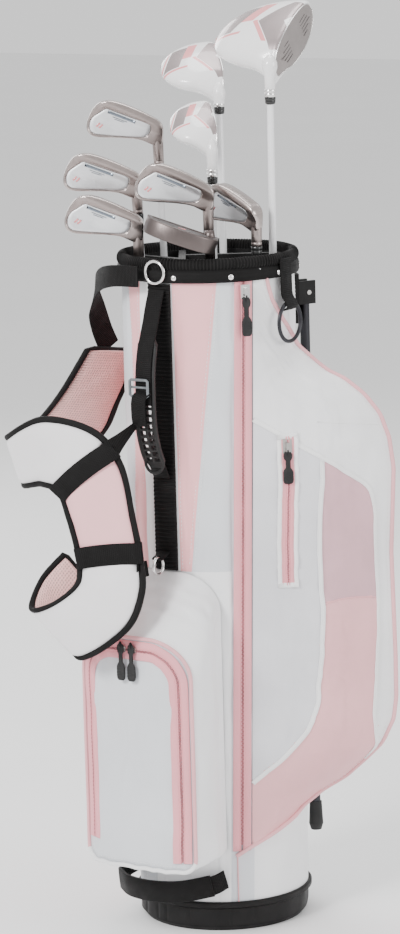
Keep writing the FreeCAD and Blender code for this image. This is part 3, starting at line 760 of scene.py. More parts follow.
# Where the two curved welts cross the panel: height and share of the width from the zipper.
WELT_A = [(0.205, 1.0), (0.222, 0.97), (0.267, 0.85), (0.335, 0.86), (0.404, 0.885), (0.512, 0.87),
          (0.552, 0.84),
          (0.574, 0.78), (0.593, 0.63), (0.615, 0.45), (0.649, 0.17), (0.668, 0.0)]
WELT_B = [(0.195, 0.0), (0.222, 0.2), (0.249, 0.33), (0.267, 0.38), (0.294, 0.42), (0.335, 0.43),
          (0.404, 0.453),
          (0.615, 0.45)]


def wing_row(z):
    """The pocket's outline at height z: (root, middle, edge, back, far root)."""
    r = between([(a, b) for a, b, _ in WING_EDGE], z)
    deg = between([(a, c) for a, _, c in WING_EDGE], z)
    root = polar(CLOTH_R, zip_deg(z) + 7.0, z)
    edge = polar(r, deg, z)
    full = clamp((r - 0.1125) / 0.12)
    across = edge - root
    out = vec(across.y, -across.x).normalized()
    middle = (root + edge) / 2 + out * (0.014 * full + 0.002)
    back = edge - out * (0.001 + 0.022 * full) + polar(0.0005, deg)
    far = polar(CLOTH_R, max(deg + 3.0, min(34.0, deg + 80.0 * full + 3.0)), z)
    return root, middle, edge, back, far


def outside_tube(p, z):
    """The point at height z, moved out to the tube's cloth if it lies inside it."""
    grow = max(CLOTH_R / from_axis(p), 1.0)
    return vec(p.x * grow, p.y * grow, z)


def wing_point(z, s):
    """A point on the pocket's face: s runs from 0 at the zipper to 1 at the piped edge."""
    root, middle, edge, _, _ = wing_row(z)
    return outside_tube(bowed(root, middle, edge, s), z)


def lining_seam_z(s):
    """The height of the curved seam between the two lined cloths, at share s of the width."""
    return 0.428 - 0.10 * (s - 0.66) ** 2


def apparel_pocket():
    z0, z1 = WING_EDGE[0][0], WING_EDGE[-1][0]
    rows = 176
    cols = FACE_COLS + GUSSET_COLS + 1
    names = ["white", "grey", "mauve", "rose"]
    verts, index, uvs, pinned = [], [], [], []
    for i in range(rows + 1):
        z = lerp(z0, z1, i / rows)
        _, _, edge, back, far = wing_row(z)
        sa, sb = between(WELT_A, z), between(WELT_B, z)
        sb = sa if z > 0.615 else sb
        wide = (edge - wing_point(z, 0)).length
        for j in range(cols):
            if j <= FACE_COLS:
                s = j / FACE_COLS
                p = wing_point(z, s)
                along = s * wide
            else:
                f = (j - FACE_COLS) / GUSSET_COLS
                p = outside_tube(edge.lerp(back, f / 0.3) if f < 0.3 else back.lerp(far, (f - 0.3) / 0.7), z)
                along = wide + f * 0.1
            verts.append(p)
            uvs.append((along, z))
            if i in (0, rows) or j in (0, FACE_COLS, cols - 1) or from_axis(p) < 0.1135:
                pinned.append(len(verts) - 1)
        if i < rows:
            zm = z + (z1 - z0) / rows / 2
            for j in range(cols - 1):
                s = (j + 0.5) / FACE_COLS
                if j >= FACE_COLS or s > sa:
                    index.append(0)
                elif s < sb:
                    index.append(1)
                else:
                    index.append(2 if zm > lining_seam_z(s) else 3)
    pocket = piece("apparel_pocket_cloth", verts, grid_faces(rows + 1, cols), names, BAG, index, uvs)
    inflate(pocket, pinned, pressure=1.2, cap=0.007, stiff=15.0)
    for v in pocket.data.vertices:
        out = outward(v.co)
        j = v.index % cols
        s = j / FACE_COLS
        loose = clamp(4 * s * (1 - s)) if j < FACE_COLS else 0.0
        fold = folds(v.co.x * 1.9, v.co.y * 1.9, v.co.z * 0.7, 0.10, 0.0046) * loose
        slant = v.co.z * 1.5 + s * 0.16
        fold += folds(slant * 1.6, s * 0.10, v.co.z * 0.3, 0.055, 0.0026) * loose
        top = clamp((v.co.z - 0.64) / 0.04) * clamp((0.84 - v.co.z) / 0.03)
        fold += 0.0010 * sin((v.co.z * 1.0 + s * 0.12) * 2 * pi / 0.034) * top * loose
        v.co += out * max(fold, 0.0 if from_axis(v.co) < 0.116 else -0.0015)
    rows_z = [lerp(z0, z1, i / rows) for i in range(rows + 1)]

    def on_face(z, s, lift=0.0):
        """A point of the finished face, with its outward normal."""
        f = clamp((z - z0) / (z1 - z0)) * rows
        i = min(int(f), rows - 1)
        g = clamp(s) * FACE_COLS
        j = min(int(g), FACE_COLS - 1)
        near = i * cols + j
        a, b, c, d = (pocket.data.vertices[k].co for k in (near, near + 1, near + cols, near + cols + 1))
        p = a.lerp(b, g - j).lerp(c.lerp(d, g - j), f - i)
        n = (b - a).cross(c - a)
        n = n.normalized() if n.length > 1e-12 else outward(p)
        return p + n * lift, n

    made = []

    def welt(name, line, width, thick, mat, lift=0.0008):
        pts = [on_face(z, s, lift) for z, s in line]
        path, normals = [p for p, _ in pts], [n for _, n in pts]
        sides = sides_of(path, normals)
        made.append(ribbon(name, path, sides, width, thick, mat))
        return path, normals, sides

    def sampled(table, lo, hi, n):
        curve = curve_points([vec(s, 0, z) for z, s in table if lo <= z <= hi], n)
        return [(p.z, clamp(p.x, 0.004, 0.996)) for p in curve]

    for tag, table, lo, hi in (("outer", WELT_A, 0.2, 0.67), ("inner", WELT_B, 0.19, 0.616)):
        line = sampled(table, lo, hi, 10)
        path, normals, sides = welt(f"pocket_welt_{tag}", line, 0.0062, 0.0012, "welt")
        for way in (-1, 1):
            row = [p + n * 0.0007 + s * (0.0021 * way) for p, n, s in zip(path, normals, sides)]
            made.append(stitches(f"pocket_welt_{tag}_{way}", row, normals, 0.0045, 0.003, 0.0003))
    arc = [(lining_seam_z(s), s) for s in (0.455 + 0.43 * k / 24 for k in range(25))]
    welt("pocket_lining_seam", arc, 0.0016, 0.0006, "piping", 0.0003)
    bars = [(0.660 - 0.012 * k / 20, 0.45 + 0.5 * k / 20) for k in range(21)]
    welt("pocket_yoke_seam", bars, 0.0012, 0.0005, "welt", 0.0002)

    edge_path = []
    for i in range(0, rows - 1, 2):
        v = pocket.data.vertices[i * cols + FACE_COLS].co
        edge_path.append(v + outward(v) * 0.0012)
    tail = [polar(0.1134, -36.0 - 3.0 * k, 0.114 - 0.0033 * k) for k in range(4, 0, -1)]
    made.append(tube("pocket_edge_piping", curve_points(tail + edge_path[1:], 2), 0.0027, "piping"))
    lip = [on_face(z, 0.965, 0.0005) for z in rows_z[8:-6:2]]
    made.append(stitches("pocket_edge_stitch", [p for p, _ in lip], [n for _, n in lip], 0.005, 0.0032))
    subdivide(pocket)
    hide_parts("apparel_pocket")
    for obj in made:
        "pink_tape" if "piping" in obj.name or "lining" in obj.name else "white_fabric"
    return on_face


# ------------------------------------------------------------------ zippers
TOOTH = ((-0.35, 0.0), (-0.35, 0.9), (0.5, 1.15), (1.0, 0.6), (1.0, 0.0))      # across, height


def teeth(name, path, normals, pitch=0.0026, half=0.0018):
    """A zipper's closed coil: paired teeth that meet along the middle."""
    verts, faces = [], []
    for count, (p, t, n, s) in enumerate(places(path, normals, pitch, 0.0, 0.0)):
        way = half if count % 2 else -half
        base = len(verts)
        for across, height in TOOTH:
            for along in (-0.42 * pitch, 0.42 * pitch):
                verts.append(p + s * (across * way) + n * (height * 0.0011) + t * along)
        for q in range(base, base + 8, 2):
            faces.append((q, q + 2, q + 3, q + 1))
        faces.append((base, base + 8, base + 6, base + 4, base + 2))
        faces.append((base + 1, base + 3, base + 5, base + 7, base + 9))
    return piece(name, verts, faces, "coil")


def zipper(name, path, normals, sides, width):
    """Two tapes with a raised rim each side of a coil, sewn down with a row of stitches."""
    def beside(share, lift=0.0):
        return [p + s * (share * width) + n * lift for p, s, n in zip(path, sides, normals)]

    parts, rows = [], []
    for way in (-1, 1):
        middle, rim, row = beside(way * 0.29), beside(way * 0.09, 0.0007), beside(way * 0.40, 0.0009)
        parts.append(ribbon(f"{name}_tape_{way}", middle, sides, width * 0.46, 0.0014, "tape", BAG, 0.0004))
        parts.append(tube(f"{name}_rim_{way}", rim, 0.0008, "tape", BAG, 6))
        rows.append(stitches(f"{name}_row_{way}", row, normals, 0.0042, 0.0028, 0.0003, "piping"))
    body = joined(f"{name}_tapes", parts)
    threads = joined(f"{name}_threads", rows)
    coils = teeth(f"{name}_coil", beside(0.0, 0.0004)[1:-1], normals[1:-1])
    return body


def main_zipper():
    heights = [lerp(0.1075, 0.856, k / 80) for k in range(81)]
    path = [polar(TUBE_R + 0.0011, zip_deg(z), z) for z in heights]
    normals = [polar(1.0, zip_deg(z)) for z in heights]
    body = zipper("main_zip", path, normals, [UP.cross(out) for out in normals], 0.023)
    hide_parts("main_zipper_tape")


def small_zipper(on_face):
    line = [(lerp(0.4525, 0.6445, k / 40), 0.23) for k in range(41)]
    pts = [on_face(z, s, 0.0010) for z, s in line]
    path = [p for p, _ in pts]
    normals = [n for _, n in pts]
    sides = [-side for side in sides_of(path, normals)]
    body = zipper("small_zip", path, normals, sides, 0.017)
    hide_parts("small_zipper_tape")
    for way, tag in ((-0.0108, "left"), (0.0108, "right")):
        edge = [p + s * way for p, s in zip(path, sides)]
        rim = ribbon(f"small_zip_welt_{tag}", edge, sides, 0.0055, 0.0016, "welt")
    for k, tag in ((0, "bottom"), (40, "top")):
        across = [path[k] + sides[k] * d for d in (-0.0135, 0.0, 0.0135)]
        bar = ribbon(f"small_zip_end_{tag}", across, UP, 0.0065, 0.002, "welt")


# ------------------------------------------------------------------ ball pocket
def rounded_frame(x0, x1, z0, z1, low, top):
    """A closed outline with small lower corners and a wide arched top, from its lower left."""
    pts = [vec(lerp(x0 + low, x1 - low, k / 20), 0, z0) for k in range(20)]
    corners = ((x1 - low, z0 + low, low, -90, 6), (x1 - top, z1 - top, top, 0, 14),
               (x0 + top, z1 - top, top, 90, 14),
               (x0 + low, z0 + low, low, 180, 6))
    sides = ((x1, z0 + low, x1, z1 - top, 40), (x1 - top, z1, x0 + top, z1, 20),
             (x0, z1 - top, x0, z0 + low, 40))
    for n, (cx, cz, r, a0, steps) in enumerate(corners):
        for k in range(steps):
            a = radians(a0 + 90 * k / steps)
            pts.append(vec(cx + r * cos(a), 0, cz + r * sin(a)))
        if n < 3:
            ax, az, bx, bz, count = sides[n]
            pts += [vec(lerp(ax, bx, k / count), 0, lerp(az, bz, k / count)) for k in range(count)]
    return pts


POCKET_X = -0.002
POCKET_FRONT = (-0.084, 0.080, 0.106, 0.404, 0.016, 0.052)


def pocket_front_y(x):
    """The front panel is level in its middle and turns back at its sides."""
    return -0.1975 + 0.0155 * clamp((abs(x - POCKET_X) - 0.040) / 0.042) ** 1.6


def ball_pocket():
    front = rounded_frame(*POCKET_FRONT)
    mid = rounded_frame(-0.089, 0.085, 0.104, 0.446, 0.018, 0.060)
    root = rounded_frame(-0.078, 0.066, 0.104, 0.474, 0.010, 0.050)
    for a, m, b in zip(front, mid, root):
        a.y = pocket_front_y(a.x)
        m.y = -0.146
        b.y = -sqrt(max(CLOTH_R ** 2 - b.x ** 2, 0.0001))
    n = len(front)
    rings, inner = 18, 18
    verts, uvs = [], []
    cz = 0.255
    for i in range(1, inner + 1):
        f = i / inner
        for p in front:
            x = lerp(POCKET_X, p.x, f)
            z = lerp(cz, p.z, f)
            verts.append(vec(x, pocket_front_y(x) - 0.0035 * (1 - f * f), z))
            uvs.append((x, z))
    for i in range(1, rings + 1):
        f = i / rings
        for k in range(n):
            p = bowed(front[k], mid[k], root[k], f)
            p.z = max(p.z, 0.1035)
            verts.append(p)
            uvs.append((k * 0.006, f * 0.09))
    pinned = [*range((inner - 1) * n, inner * n), *range(len(verts) - n, len(verts))]
    faces = grid_faces(inner + rings, n, wrap_cols=True)
    faces.append(tuple(reversed(range(n))))
    index = [0 if i < inner - 1 else 1 for i in range(inner + rings - 1) for _ in range(n)] + [0]
    pocket = piece("ball_pocket_cloth", verts, faces, ["pale", "white"], BAG, index, uvs)
    inflate(pocket, pinned, pressure=1.4, cap=0.0045, stiff=15.0)
    for v in pocket.data.vertices:
        out = v.normal
        ring = v.index // n
        loose = 0.35 * clamp((inner - ring) / 6)
        if ring >= inner:
            loose = clamp((ring - inner) / 4) * clamp((inner + rings - 1 - ring) / 4)
        high = clamp((v.co.z - 0.36) / 0.08)
        low = clamp((0.16 - v.co.z) / 0.05)
        fold = folds(v.co.x * 1.3, v.co.y * 1.3, v.co.z * 0.7, 0.075, 0.0046) * loose
        fold += folds(v.co.x * 0.8 + v.co.z, v.co.y * 1.6, v.co.x * 0.4, 0.045, 0.0022) * loose
        slant = (v.co.y * 0.8 + v.co.z * 0.35) * 2 * pi / 0.021
        fold += 0.0016 * sin(slant + 3 * noise.noise(v.co * 14)) * high * loose
        if ring < inner + 3:
            fold += 0.0008 * sin(v.co.x * 2 * pi / 0.027 + 4 * noise.noise(v.co * 18)) * low
        v.co += out * clamp(fold, -0.005, 0.0035)
        v.co.y = max(v.co.y, -0.2018)
    skin = BVHTree.FromPolygons([v.co.copy() for v in pocket.data.vertices],
                                [tuple(p.vertices) for p in pocket.data.polygons])

    def on_front(x, z, lift):
        hit = skin.ray_cast(vec(x, -0.3, z), vec(0, 1))
        p = hit[0] if hit[0] is not None and hit[0].y < -0.15 else vec(x, pocket_front_y(x), z)
        return vec(x, p.y - lift, z)

    edge = [pocket.data.vertices[(inner - 1) * n + k].co.copy() for k in range(n)]
    out = [(e - vec(POCKET_X, e.y, cz)).normalized() for e in edge]
    rim = [e + o * 0.0008 + vec(0, -0.0010) for e, o in zip(edge, out)]
    piping = tube("ball_pocket_piping", rim[24:-3], 0.0025, "piping")
    hem_roll = tube("ball_pocket_hem_roll", rim[-5:] + rim[:26], 0.0028, "welt")
    left, right, _, top, _, _ = POCKET_FRONT
    open_run = rounded_frame(left + 0.0143, right - 0.0143, 0.113, top - 0.0155, 0.004, 0.040)[26:152]
    path = [on_front(p.x, p.z, 0.0011) for p in curve_points(open_run, 2)]
    slopes = [(pocket_front_y(p.x + 0.004) - pocket_front_y(p.x - 0.004)) / 0.008 for p in path]
    normals = [vec(slope, -1).normalized() for slope in slopes]
    zipper("ball_zip", path, normals, sides_of(path, normals), 0.0235)
    seam_rows = [on_front(lerp(-0.070, 0.066, k / 40), 0.112, 0.0006) for k in range(41)]
    hem = stitches("ball_pocket_hem", seam_rows, FRONT, 0.005, 0.0034)
    for k, x in enumerate((-0.011, 0.005)):
        base = on_front(x, 0.3895, 0.002)
        slide = slider_body(f"ball_slider_{k}", base, X_WAY, FRONT)
    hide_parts("ball_pocket")


def slider_body(name, at, along, out, body=BAG):
    """A zipper slider: a shield-shaped plate with a bridge over it."""
    side = along.cross(out).normalized()
    plan = [(-0.0055, 0.0022), (-0.002, 0.0036), (0.003, 0.0040), (0.0052, 0.0030), (0.0058, 0.0)]
    ring = plan + [(a, -b) for a, b in reversed(plan[:-1])]
    verts = []
    for height, grow in ((0.0, 0.94), (0.0006, 1.0), (0.0020, 1.0), (0.0026, 0.88)):
        for a, b in ring:
            verts.append(at + along * (a * grow) + side * (b * grow) + out * height)
    plate = piece(name, verts, ring_faces(len(verts), len(ring), turned_in=True), "zinc", body)
    turns = [pi * i / 10 for i in range(11)]
    arch = [at + along * (0.0042 * cos(a)) + out * (0.0024 + 0.0030 * sin(a)) for a in turns]
    bridge = tube(name + "_bridge", arch, 0.0009, "zinc", body, 8)
    return joined(name, [plate, bridge], body)


# ------------------------------------------------------------------ shoulder strap
# The two edges of the folded strap, station by station from its top to its lower end.
STRAP_EDGES = [((-148, -64, 745), (-128, 20, 732)), ((-162, -109, 690), (-134, -18, 675)),
               ((-171, -160, 655), (-136, -70, 627)), ((-171, -212, 650), (-160, -190, 590)),
               ((-104, -225, 680), (-115, -218, 596)), ((-45, -200, 664), (-84, -225, 590)),
               ((-12, -190, 622), (-68, -228, 560)), ((2, -188, 556), (-58, -225, 520)),
               ((12, -188, 505), (-54, -226, 488)), ((18, -196, 462), (-58, -232, 470)),
               ((10, -222, 420), (-80, -248, 450)), ((-50, -238, 382), (-115, -248, 440)),
               ((-80, -212, 420), (-122, -216, 470)), ((-72, -180, 460), (-104, -190, 500))]
STATIONS = 12                   # rows of mesh to each span between stations
PAD_HALF = 0.0058


STRAP_END = 13.0
HEM_HALF = 0.0020               # half the strap's thickness at its edge


class StrapShape:
    """Places on the strap: u counts stations from its top, a runs from -0.5 to 0.5 across it."""

    def __init__(self):
        self.first, self.second = (curve_points(millimetres(edge), STATIONS) for edge in zip(*STRAP_EDGES))
        centres = [(p + q) / 2 for p, q in zip(self.first, self.second)]
        last = len(centres) - 1
        normals = []
        for i in range(last + 1):
            t = centres[min(i + 2, last)] - centres[max(i - 2, 0)]
            normals.append((self.second[i] - self.first[i]).cross(t).normalized())
        self.normals = [sum(normals[max(i - 4, 0):i + 5], Vector()).normalized() for i in range(last + 1)]

    def read(self, values, u):
        f = clamp(u * STATIONS, 0, len(values) - 1.0001)
        i = int(f)
        return values[i].lerp(values[i + 1], f - i)

    def half(self, a):
        return HEM_HALF + (PAD_HALF - HEM_HALF) * sqrt(max(1 - (2 * a) ** 4, 0.0))

    def at(self, u, a, side=0.0, lift=0.0):
        """A point; side is 1 on the outer face, -1 on the padded mesh face."""
        p = self.read(self.first, u).lerp(self.read(self.second, u), a + 0.5)
        n = self.read(self.normals, u)
        return p + n * (side * (self.half(clamp(a, -0.5, 0.5)) + lift))

    def normal(self, u):
        return self.read(self.normals, u).normalized()


def strap_pad(shape, name, lo, hi, outer, node):
    cols = 14
    rows = int((hi - lo) * STATIONS)
    verts, uvs, pinned = [], [], []
    ring = [(-0.5 + k / cols, 1) for k in range(cols)] + [(0.5 - k / cols, -1) for k in range(cols)]
    length = 0.0
    last = None
    for i in range(rows + 1):
        u = lerp(lo, hi, i / rows)
        here = shape.at(u, 0.0)
        length += (here - last).length if last is not None else 0.0
        last = here
        width = (shape.at(u, 0.5) - shape.at(u, -0.5)).length
        for a, side in ring:
            verts.append(shape.at(u, a * 0.985, side if abs(a) < 0.5 else 0.0))
            uvs.append((length, a * width + (0.2 if side < 0 else 0.0)))
            if abs(a) > 0.47 or i in (0, rows):
                pinned.append(len(verts) - 1)
    index = [int(k >= cols) for _ in range(rows) for k in range(len(ring))] + [0, 0]
    pad = piece(name, verts, ring_faces(len(verts), len(ring)), [outer, "mesh"], STRAP, index, uvs)
    inflate(pad, pinned, pressure=2.2, cap=0.0035, stiff=10.0)
    for v in pad.data.vertices:
        v.co += v.normal * clamp(folds(*v.co, 0.06, 0.0012), -0.001, 0.001)
    subdivide(pad)
    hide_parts(node)


def bound_edge(name, path, sides, normals, half_w, half_t):
    """A soft bound edge: an oval swept along a closed path with given directions."""
    verts, uvs = [], []
    segments = 12
    for p, side, normal, length in zip(path, sides, normals, marks_along(path)):
        pucker = 1 + 0.05 * noise.noise(p * 120)
        for k in range(segments):
            a = 2 * pi * k / segments
            verts.append(p + side * (half_w * pucker * cos(a)) + normal * (half_t * pucker * sin(a)))
            uvs.append((length, half_w * a))
    return piece(name, verts, ring_faces(len(verts), segments, True), "binding", STRAP, None, uvs)


def shoulder_strap():
    shape = StrapShape()
    strap_pad(shape, "strap_upper_cloth", 0.0, 5.36, "pad", "strap_upper_pad")
    strap_pad(shape, "strap_yoke_cloth", 5.34, 7.62, "yoke", "strap_yoke")
    strap_pad(shape, "strap_lower_cloth", 7.60, STRAP_END, "pad", "strap_lower_pad")
    path, sides, normals = [], [], []

    def corner(u, a, towards, origin):
        path.append(shape.at(u, a))
        sides.append((towards - origin).normalized())
        normals.append(shape.normal(u))

    steps = 13 * STATIONS
    stations = [STRAP_END * i / steps for i in range(steps + 1)]
    for u in stations:
        corner(u, -0.5, shape.at(u, 0.5), shape.at(u, -0.5))
    for k in range(1, 10):
        corner(STRAP_END, -0.5 + k / 10, shape.at(12.9, 0.0), shape.at(STRAP_END, 0.0))
    for u in reversed(stations):
        corner(u, 0.5, shape.at(u, -0.5), shape.at(u, 0.5))
    for k in range(9, 0, -1):
        corner(0.0, -0.5 + k / 10, shape.at(0.1, 0.0), shape.at(0.0, 0.0))
    binding = bound_edge("strap_binding", path, sides, normals, 0.0046, 0.0040)
    inset = [p + side * 0.0028 + normal * 0.0036 for p, side, normal in zip(path, sides, normals)]
    rows = stitches("strap_binding_stitch", inset, normals, 0.004, 0.0026, 0.0003, "web", STRAP)

    def band(name, u0, u1, width):
        """Elastic webbing right round the strap, from the first edge to the second."""
        loop = [(lerp(u1, u0, k / 14), -0.5 + k / 14, 1) for k in range(15)]
        loop += [(lerp(u0, u1, k / 14), 0.5 - k / 14, -1) for k in range(15)]
        pts, dirs = [], []
        for u, a, side in loop:
            spread = 1.10 if abs(a) > 0.47 else 1.0
            lift = 0.0016 + 0.0022 * clamp((abs(a) - 0.36) / 0.1)
            pts.append(shape.at(u, clamp(a * spread, -0.545, 0.545), side, lift))
            dirs.append((shape.at(min(u + 0.15, 13), 0.0) - shape.at(max(u - 0.15, 0), 0.0)).normalized())
        pts.append(pts[0].copy())
        dirs.append(dirs[0].copy())
        obj = ribbon(name, pts, dirs, width, 0.0016, "web", STRAP)

    band("strap_band_upper", 5.10, 5.62, 0.026)
    band("strap_band_lower", 7.38, 7.86, 0.027)

    start = shape.at(5.60, -0.5, 1, 0.003)
    end = vec(-0.013, -0.154, 0.668)
    tab_path = curve_points([start, start.lerp(end, 0.35) + vec(0, -0.004, -0.002), start.lerp(end, 0.7),
                             end], 6)
    tab = ribbon("strap_handle_tab", tab_path, vec(0.1, 0.15, 1).normalized(),
                 lambda f: lerp(0.030, 0.010, ease(f)),
                 0.0018, "web", None)
    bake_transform(tab)

    top_route = [(-22, -126, 852), (-70, -118, 850), (-112, -88, 836), (-136, -60, 806), (-143, -40, 772),
                 (-142, -24, 742)]
    path = curve_points(millimetres(top_route), 8)
    dirs = []
    for k, p in enumerate(path):
        f = k / (len(path) - 1)
        dirs.append(vec(0.10, 0.45 * ease((f - 0.4) / 0.5), lerp(1.0, 0.15,
                                                                 ease((f - 0.25) / 0.6))).normalized())
    upper = ribbon("strap_upper_webbing", path, dirs, lambda f: lerp(0.026, 0.034, f), 0.0024, "web", STRAP)
    path = curve_points([shape.at(8.1, -0.46, 1, 0.002)] + millimetres([(-12, -168, 483), (-5, -148, 484)]),
                        8)
    lower = ribbon("strap_lower_webbing", path, vec(0, 0.1, 1).normalized(), 0.020, 0.0022, "web", STRAP)
    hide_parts("strap_webbing")


# ------------------------------------------------------------------ handles and webbing
HANDLE_ROUTE = [(-117, 836), (-128, 810), (-140, 770), (-147, 735), (-148, 700), (-146, 665), (-138, 635),
                (-126, 612),
                (-117.5, 596)]


def slotted_grip(name, path, width, thick, mat):
    """A moulded strip with two columns of slots, bars between them and a solid rim."""
    across = (-0.5, -0.36, -0.08, 0.08, 0.36, 0.5)
    marks = marks_along(path)
    total = marks[-1]
    cuts = [0.0]
    d = 0.007
    while d < total - 0.012:
        cuts += [d, d + 0.0062]
        d += 0.0092
    cuts.append(total)
    verts, faces = [], []
    for c in cuts:
        i = 0
        while i < len(marks) - 2 and marks[i + 1] < c:
            i += 1
        f = clamp((c - marks[i]) / max(marks[i + 1] - marks[i], 1e-9))
        t = (path[i + 1] - path[i]).normalized()
        side = (X_WAY - t * X_WAY.dot(t)).normalized()
        w = width * (0.72 if min(c, total - c) < 0.001 else 1.0)
        verts += [path[i].lerp(path[i + 1], f) + side * (a * w) for a in across]
    k = len(across)
    for i in range(len(cuts) - 1):
        for j in range(k - 1):
            if i % 2 == 0 or j not in (1, 3):
                q = i * k + j
                faces.append((q, q + 1, q + k + 1, q + k))
    obj = piece(name, verts, faces, mat, BAG, smooth=False)
    settle(obj.modifiers.new("thick", "SOLIDIFY"), thickness=thick, offset=0.0)
    settle(obj.modifiers.new("edge", "BEVEL"), width=0.0009, segments=2)
    return obj


def carry_handle():
    route = curve_points([vec(0, y, z) * MM for y, z in HANDLE_ROUTE], 6)
    first, last = 11, 43
    half = 0.0140
    grip = slotted_grip("carry_grip", route[first:last], 0.027, 0.0065, "rubber")
    loop = [route[k] + vec(half, -0.0030) for k in range(first + 1, last - 3)]
    for k in range(9):
        a = pi * k / 8
        loop.append(route[last - 3] + vec(half * cos(a), -0.0030, -0.0150 * sin(a)))
    loop += [route[k] + vec(-half, -0.0030) for k in range(last - 4, first + 14, -1)]
    rim = tube("carry_grip_rim", loop, 0.0020, "rubber")
    upper = [p + vec(0, -0.0046 * clamp((k - 8) / 6)) for k, p in enumerate(route[:26])]
    web_top = ribbon("carry_webbing_top", upper, X_WAY, 0.0235, 0.0024, "web")
    web_low = ribbon("carry_webbing_low", route[40:], X_WAY, 0.024, 0.0024, "web")
    at = vec(-0.004, -0.1555, 0.716)
    corners = [at + vec(x * 0.0135, -0.0015, z * 0.0105) for x, z in ((-1, -1), (1, -1), (1, 1), (-1, 1))]
    rim_pts = [a.lerp(b, f) for a, b in zip(corners, corners[1:] + corners[:1]) for f in (0.08, 0.3, 0.7,
                                                                                          0.92)]
    bar = [at + vec(x, -0.001, 0.001) for x in (-0.0135, 0.0135)]
    ladder = joined("handle_buckle", [tube("buckle_frame", rim_pts, 0.0019, "buckle", BAG, 10, True),
                                      tube("buckle_bar", bar, 0.0016, "buckle")])
    tail = [vec(0.004, -0.1505, 0.712), vec(-0.002, -0.160, 0.704), vec(-0.004, -0.1595, 0.684),
            vec(-0.005, -0.1560, 0.668)]
    flap = ribbon("carry_webbing_tail", curve_points(tail, 6), X_WAY, 0.021, 0.0022, "web")
    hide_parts("carry_handle")


def spine():
    lo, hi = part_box("spine_webbing")
    rows = 380
    verts, uvs = [], []
    half = (hi.x - lo.x) / 2
    base_y = -0.1110
    profile = [(-1.0, 0.0), (-1.0, 0.7), (-0.93, 1.0), (-0.4, 1.0), (0, 1.0), (0.4, 1.0), (0.93, 1.0),
               (1.0, 0.7),
               (1.0, 0.0)]
    for i in range(rows + 1):
        z = lerp(lo.z, hi.z, i / rows)
        depth = 0.0034 + 0.0009 * cos(2 * pi * z / 0.0052)
        for a, d in profile:
            verts.append(vec(a * half, base_y - depth * d + 0.0005 * a * a, z))
            uvs.append((z, a * half))
    web = piece("spine_web", verts, grid_faces(rows + 1, len(profile)), "web", BAG, None, uvs)
    threads = []
    for x in (0.003 - half, half - 0.003):
        line = [vec(x, base_y - 0.0046, lerp(lo.z, hi.z, k / 80)) for k in range(81)]
        threads.append(stitches("spine_row", line, FRONT, 0.0052, 0.0034, 0.0004, "binding"))
    threads = joined("spine_threads", threads)
    tab_route = [vec(0, -0.1160, 0.500), vec(0, -0.1220, 0.497), vec(0, -0.1310, 0.4945),
                 vec(0, -0.1335, 0.4925)]
    tab = ribbon("lower_ring_tab", curve_points(tab_route, 5), X_WAY, 0.016, 0.0020, "web")
    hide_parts("spine_webbing")


def base_handle():
    route = millimetres([(66, -95, 72), (56, -112, 66), (20, -130, 58), (-20, -137, 55), (-62, -128, 54),
                         (-92, -106, 55),
                         (-98, -82, 62), (-87, -73, 72)])
    tilt = vec(0, -0.12, 1).normalized()
    outer = ribbon("base_grab_webbing", curve_points(route, 10), tilt, 0.026, 0.0026, "web")
    pad = ribbon("base_grab_sleeve", curve_points(route[1:6], 10), tilt, 0.029, 0.0046, "binding", BAG,
                 0.0004)
    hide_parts("base_handle")


def towel_loop():
    lo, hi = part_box("towel_ring_loop")
    x0 = TUBE_R + 0.0068
    y = (lo.y + hi.y) / 2
    width = (hi.y - lo.y) * 0.96
    path = curve_points([vec(x0, y, hi.z - 0.002), vec(x0 + 0.0008, y, hi.z - 0.025),
                         vec(x0 + 0.0016, y, lo.z + 0.022), vec(hi.x - 0.0036, y, lo.z + 0.0125),
                         vec(hi.x - 0.0016, y, lo.z + 0.006), vec(x0 + 0.0010, y, lo.z + 0.0022)], 6)
    loop = ribbon("towel_loop_webbing", path, -FRONT, width, 0.0022, "web")
    box_rows = []
    box = ((0.9, 0.9, -1, 1), (0.72, 0.72, -1, 1), (0.9, 0.72, -1, -1), (0.9, 0.72, 1, 1))
    for n, (za, zb, ya, yb) in enumerate(box):
        ends = [vec(x0 + 0.0022, y + way * width * 0.38, lerp(lo.z, hi.z, f)) for way,
                f in ((ya, za), (yb, zb))]
        box_rows.append(stitches(f"towel_box_{n}", ends, X_WAY, 0.003, 0.002, 0.0003, "binding"))
    threads = joined("towel_loop_threads", box_rows)
    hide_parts("towel_ring_loop")


# ------------------------------------------------------------------ clubs
class Club:
    """A club's line through the bag and its head's axes: s to the toe, k to the crown, t out of the face."""

    def __init__(self, kind, foot, mouth, sole_z, toe_deg, lie, hosel, size):
        self.kind = kind
        self.hosel = hosel * MM
        self.size = [x * MM for x in size]
        low = rack(foot[0], foot[1], 30)
        high = rack(mouth[0], mouth[1], 880)
        self.axis = (high - low).normalized()
        self.down = -self.axis
        self.sole = low + self.axis * ((sole_z * MM - low.z) / self.axis.z)
        a = radians(toe_deg + VIEW_DEG)
        flat = vec(cos(a), sin(a))
        flat = (flat - self.axis * flat.dot(self.axis)).normalized()
        tilt = radians(lie)
        self.s = self.axis * cos(tilt) + flat * sin(tilt)
        self.k = flat * cos(tilt) - self.axis * sin(tilt)
        self.t = flat.cross(self.axis)

    def at(self, s, k, t):
        """A point of the head, in millimetres from where the shaft line meets the sole."""
        return self.sole + (self.s * s + self.k * k + self.t * t) * MM


def rack(u, w, z=0.0):
    """Millimetres across the rack, u to the camera's right and w away from it."""
    return (RIGHT * u + AWAY * w + UP * z) * MM


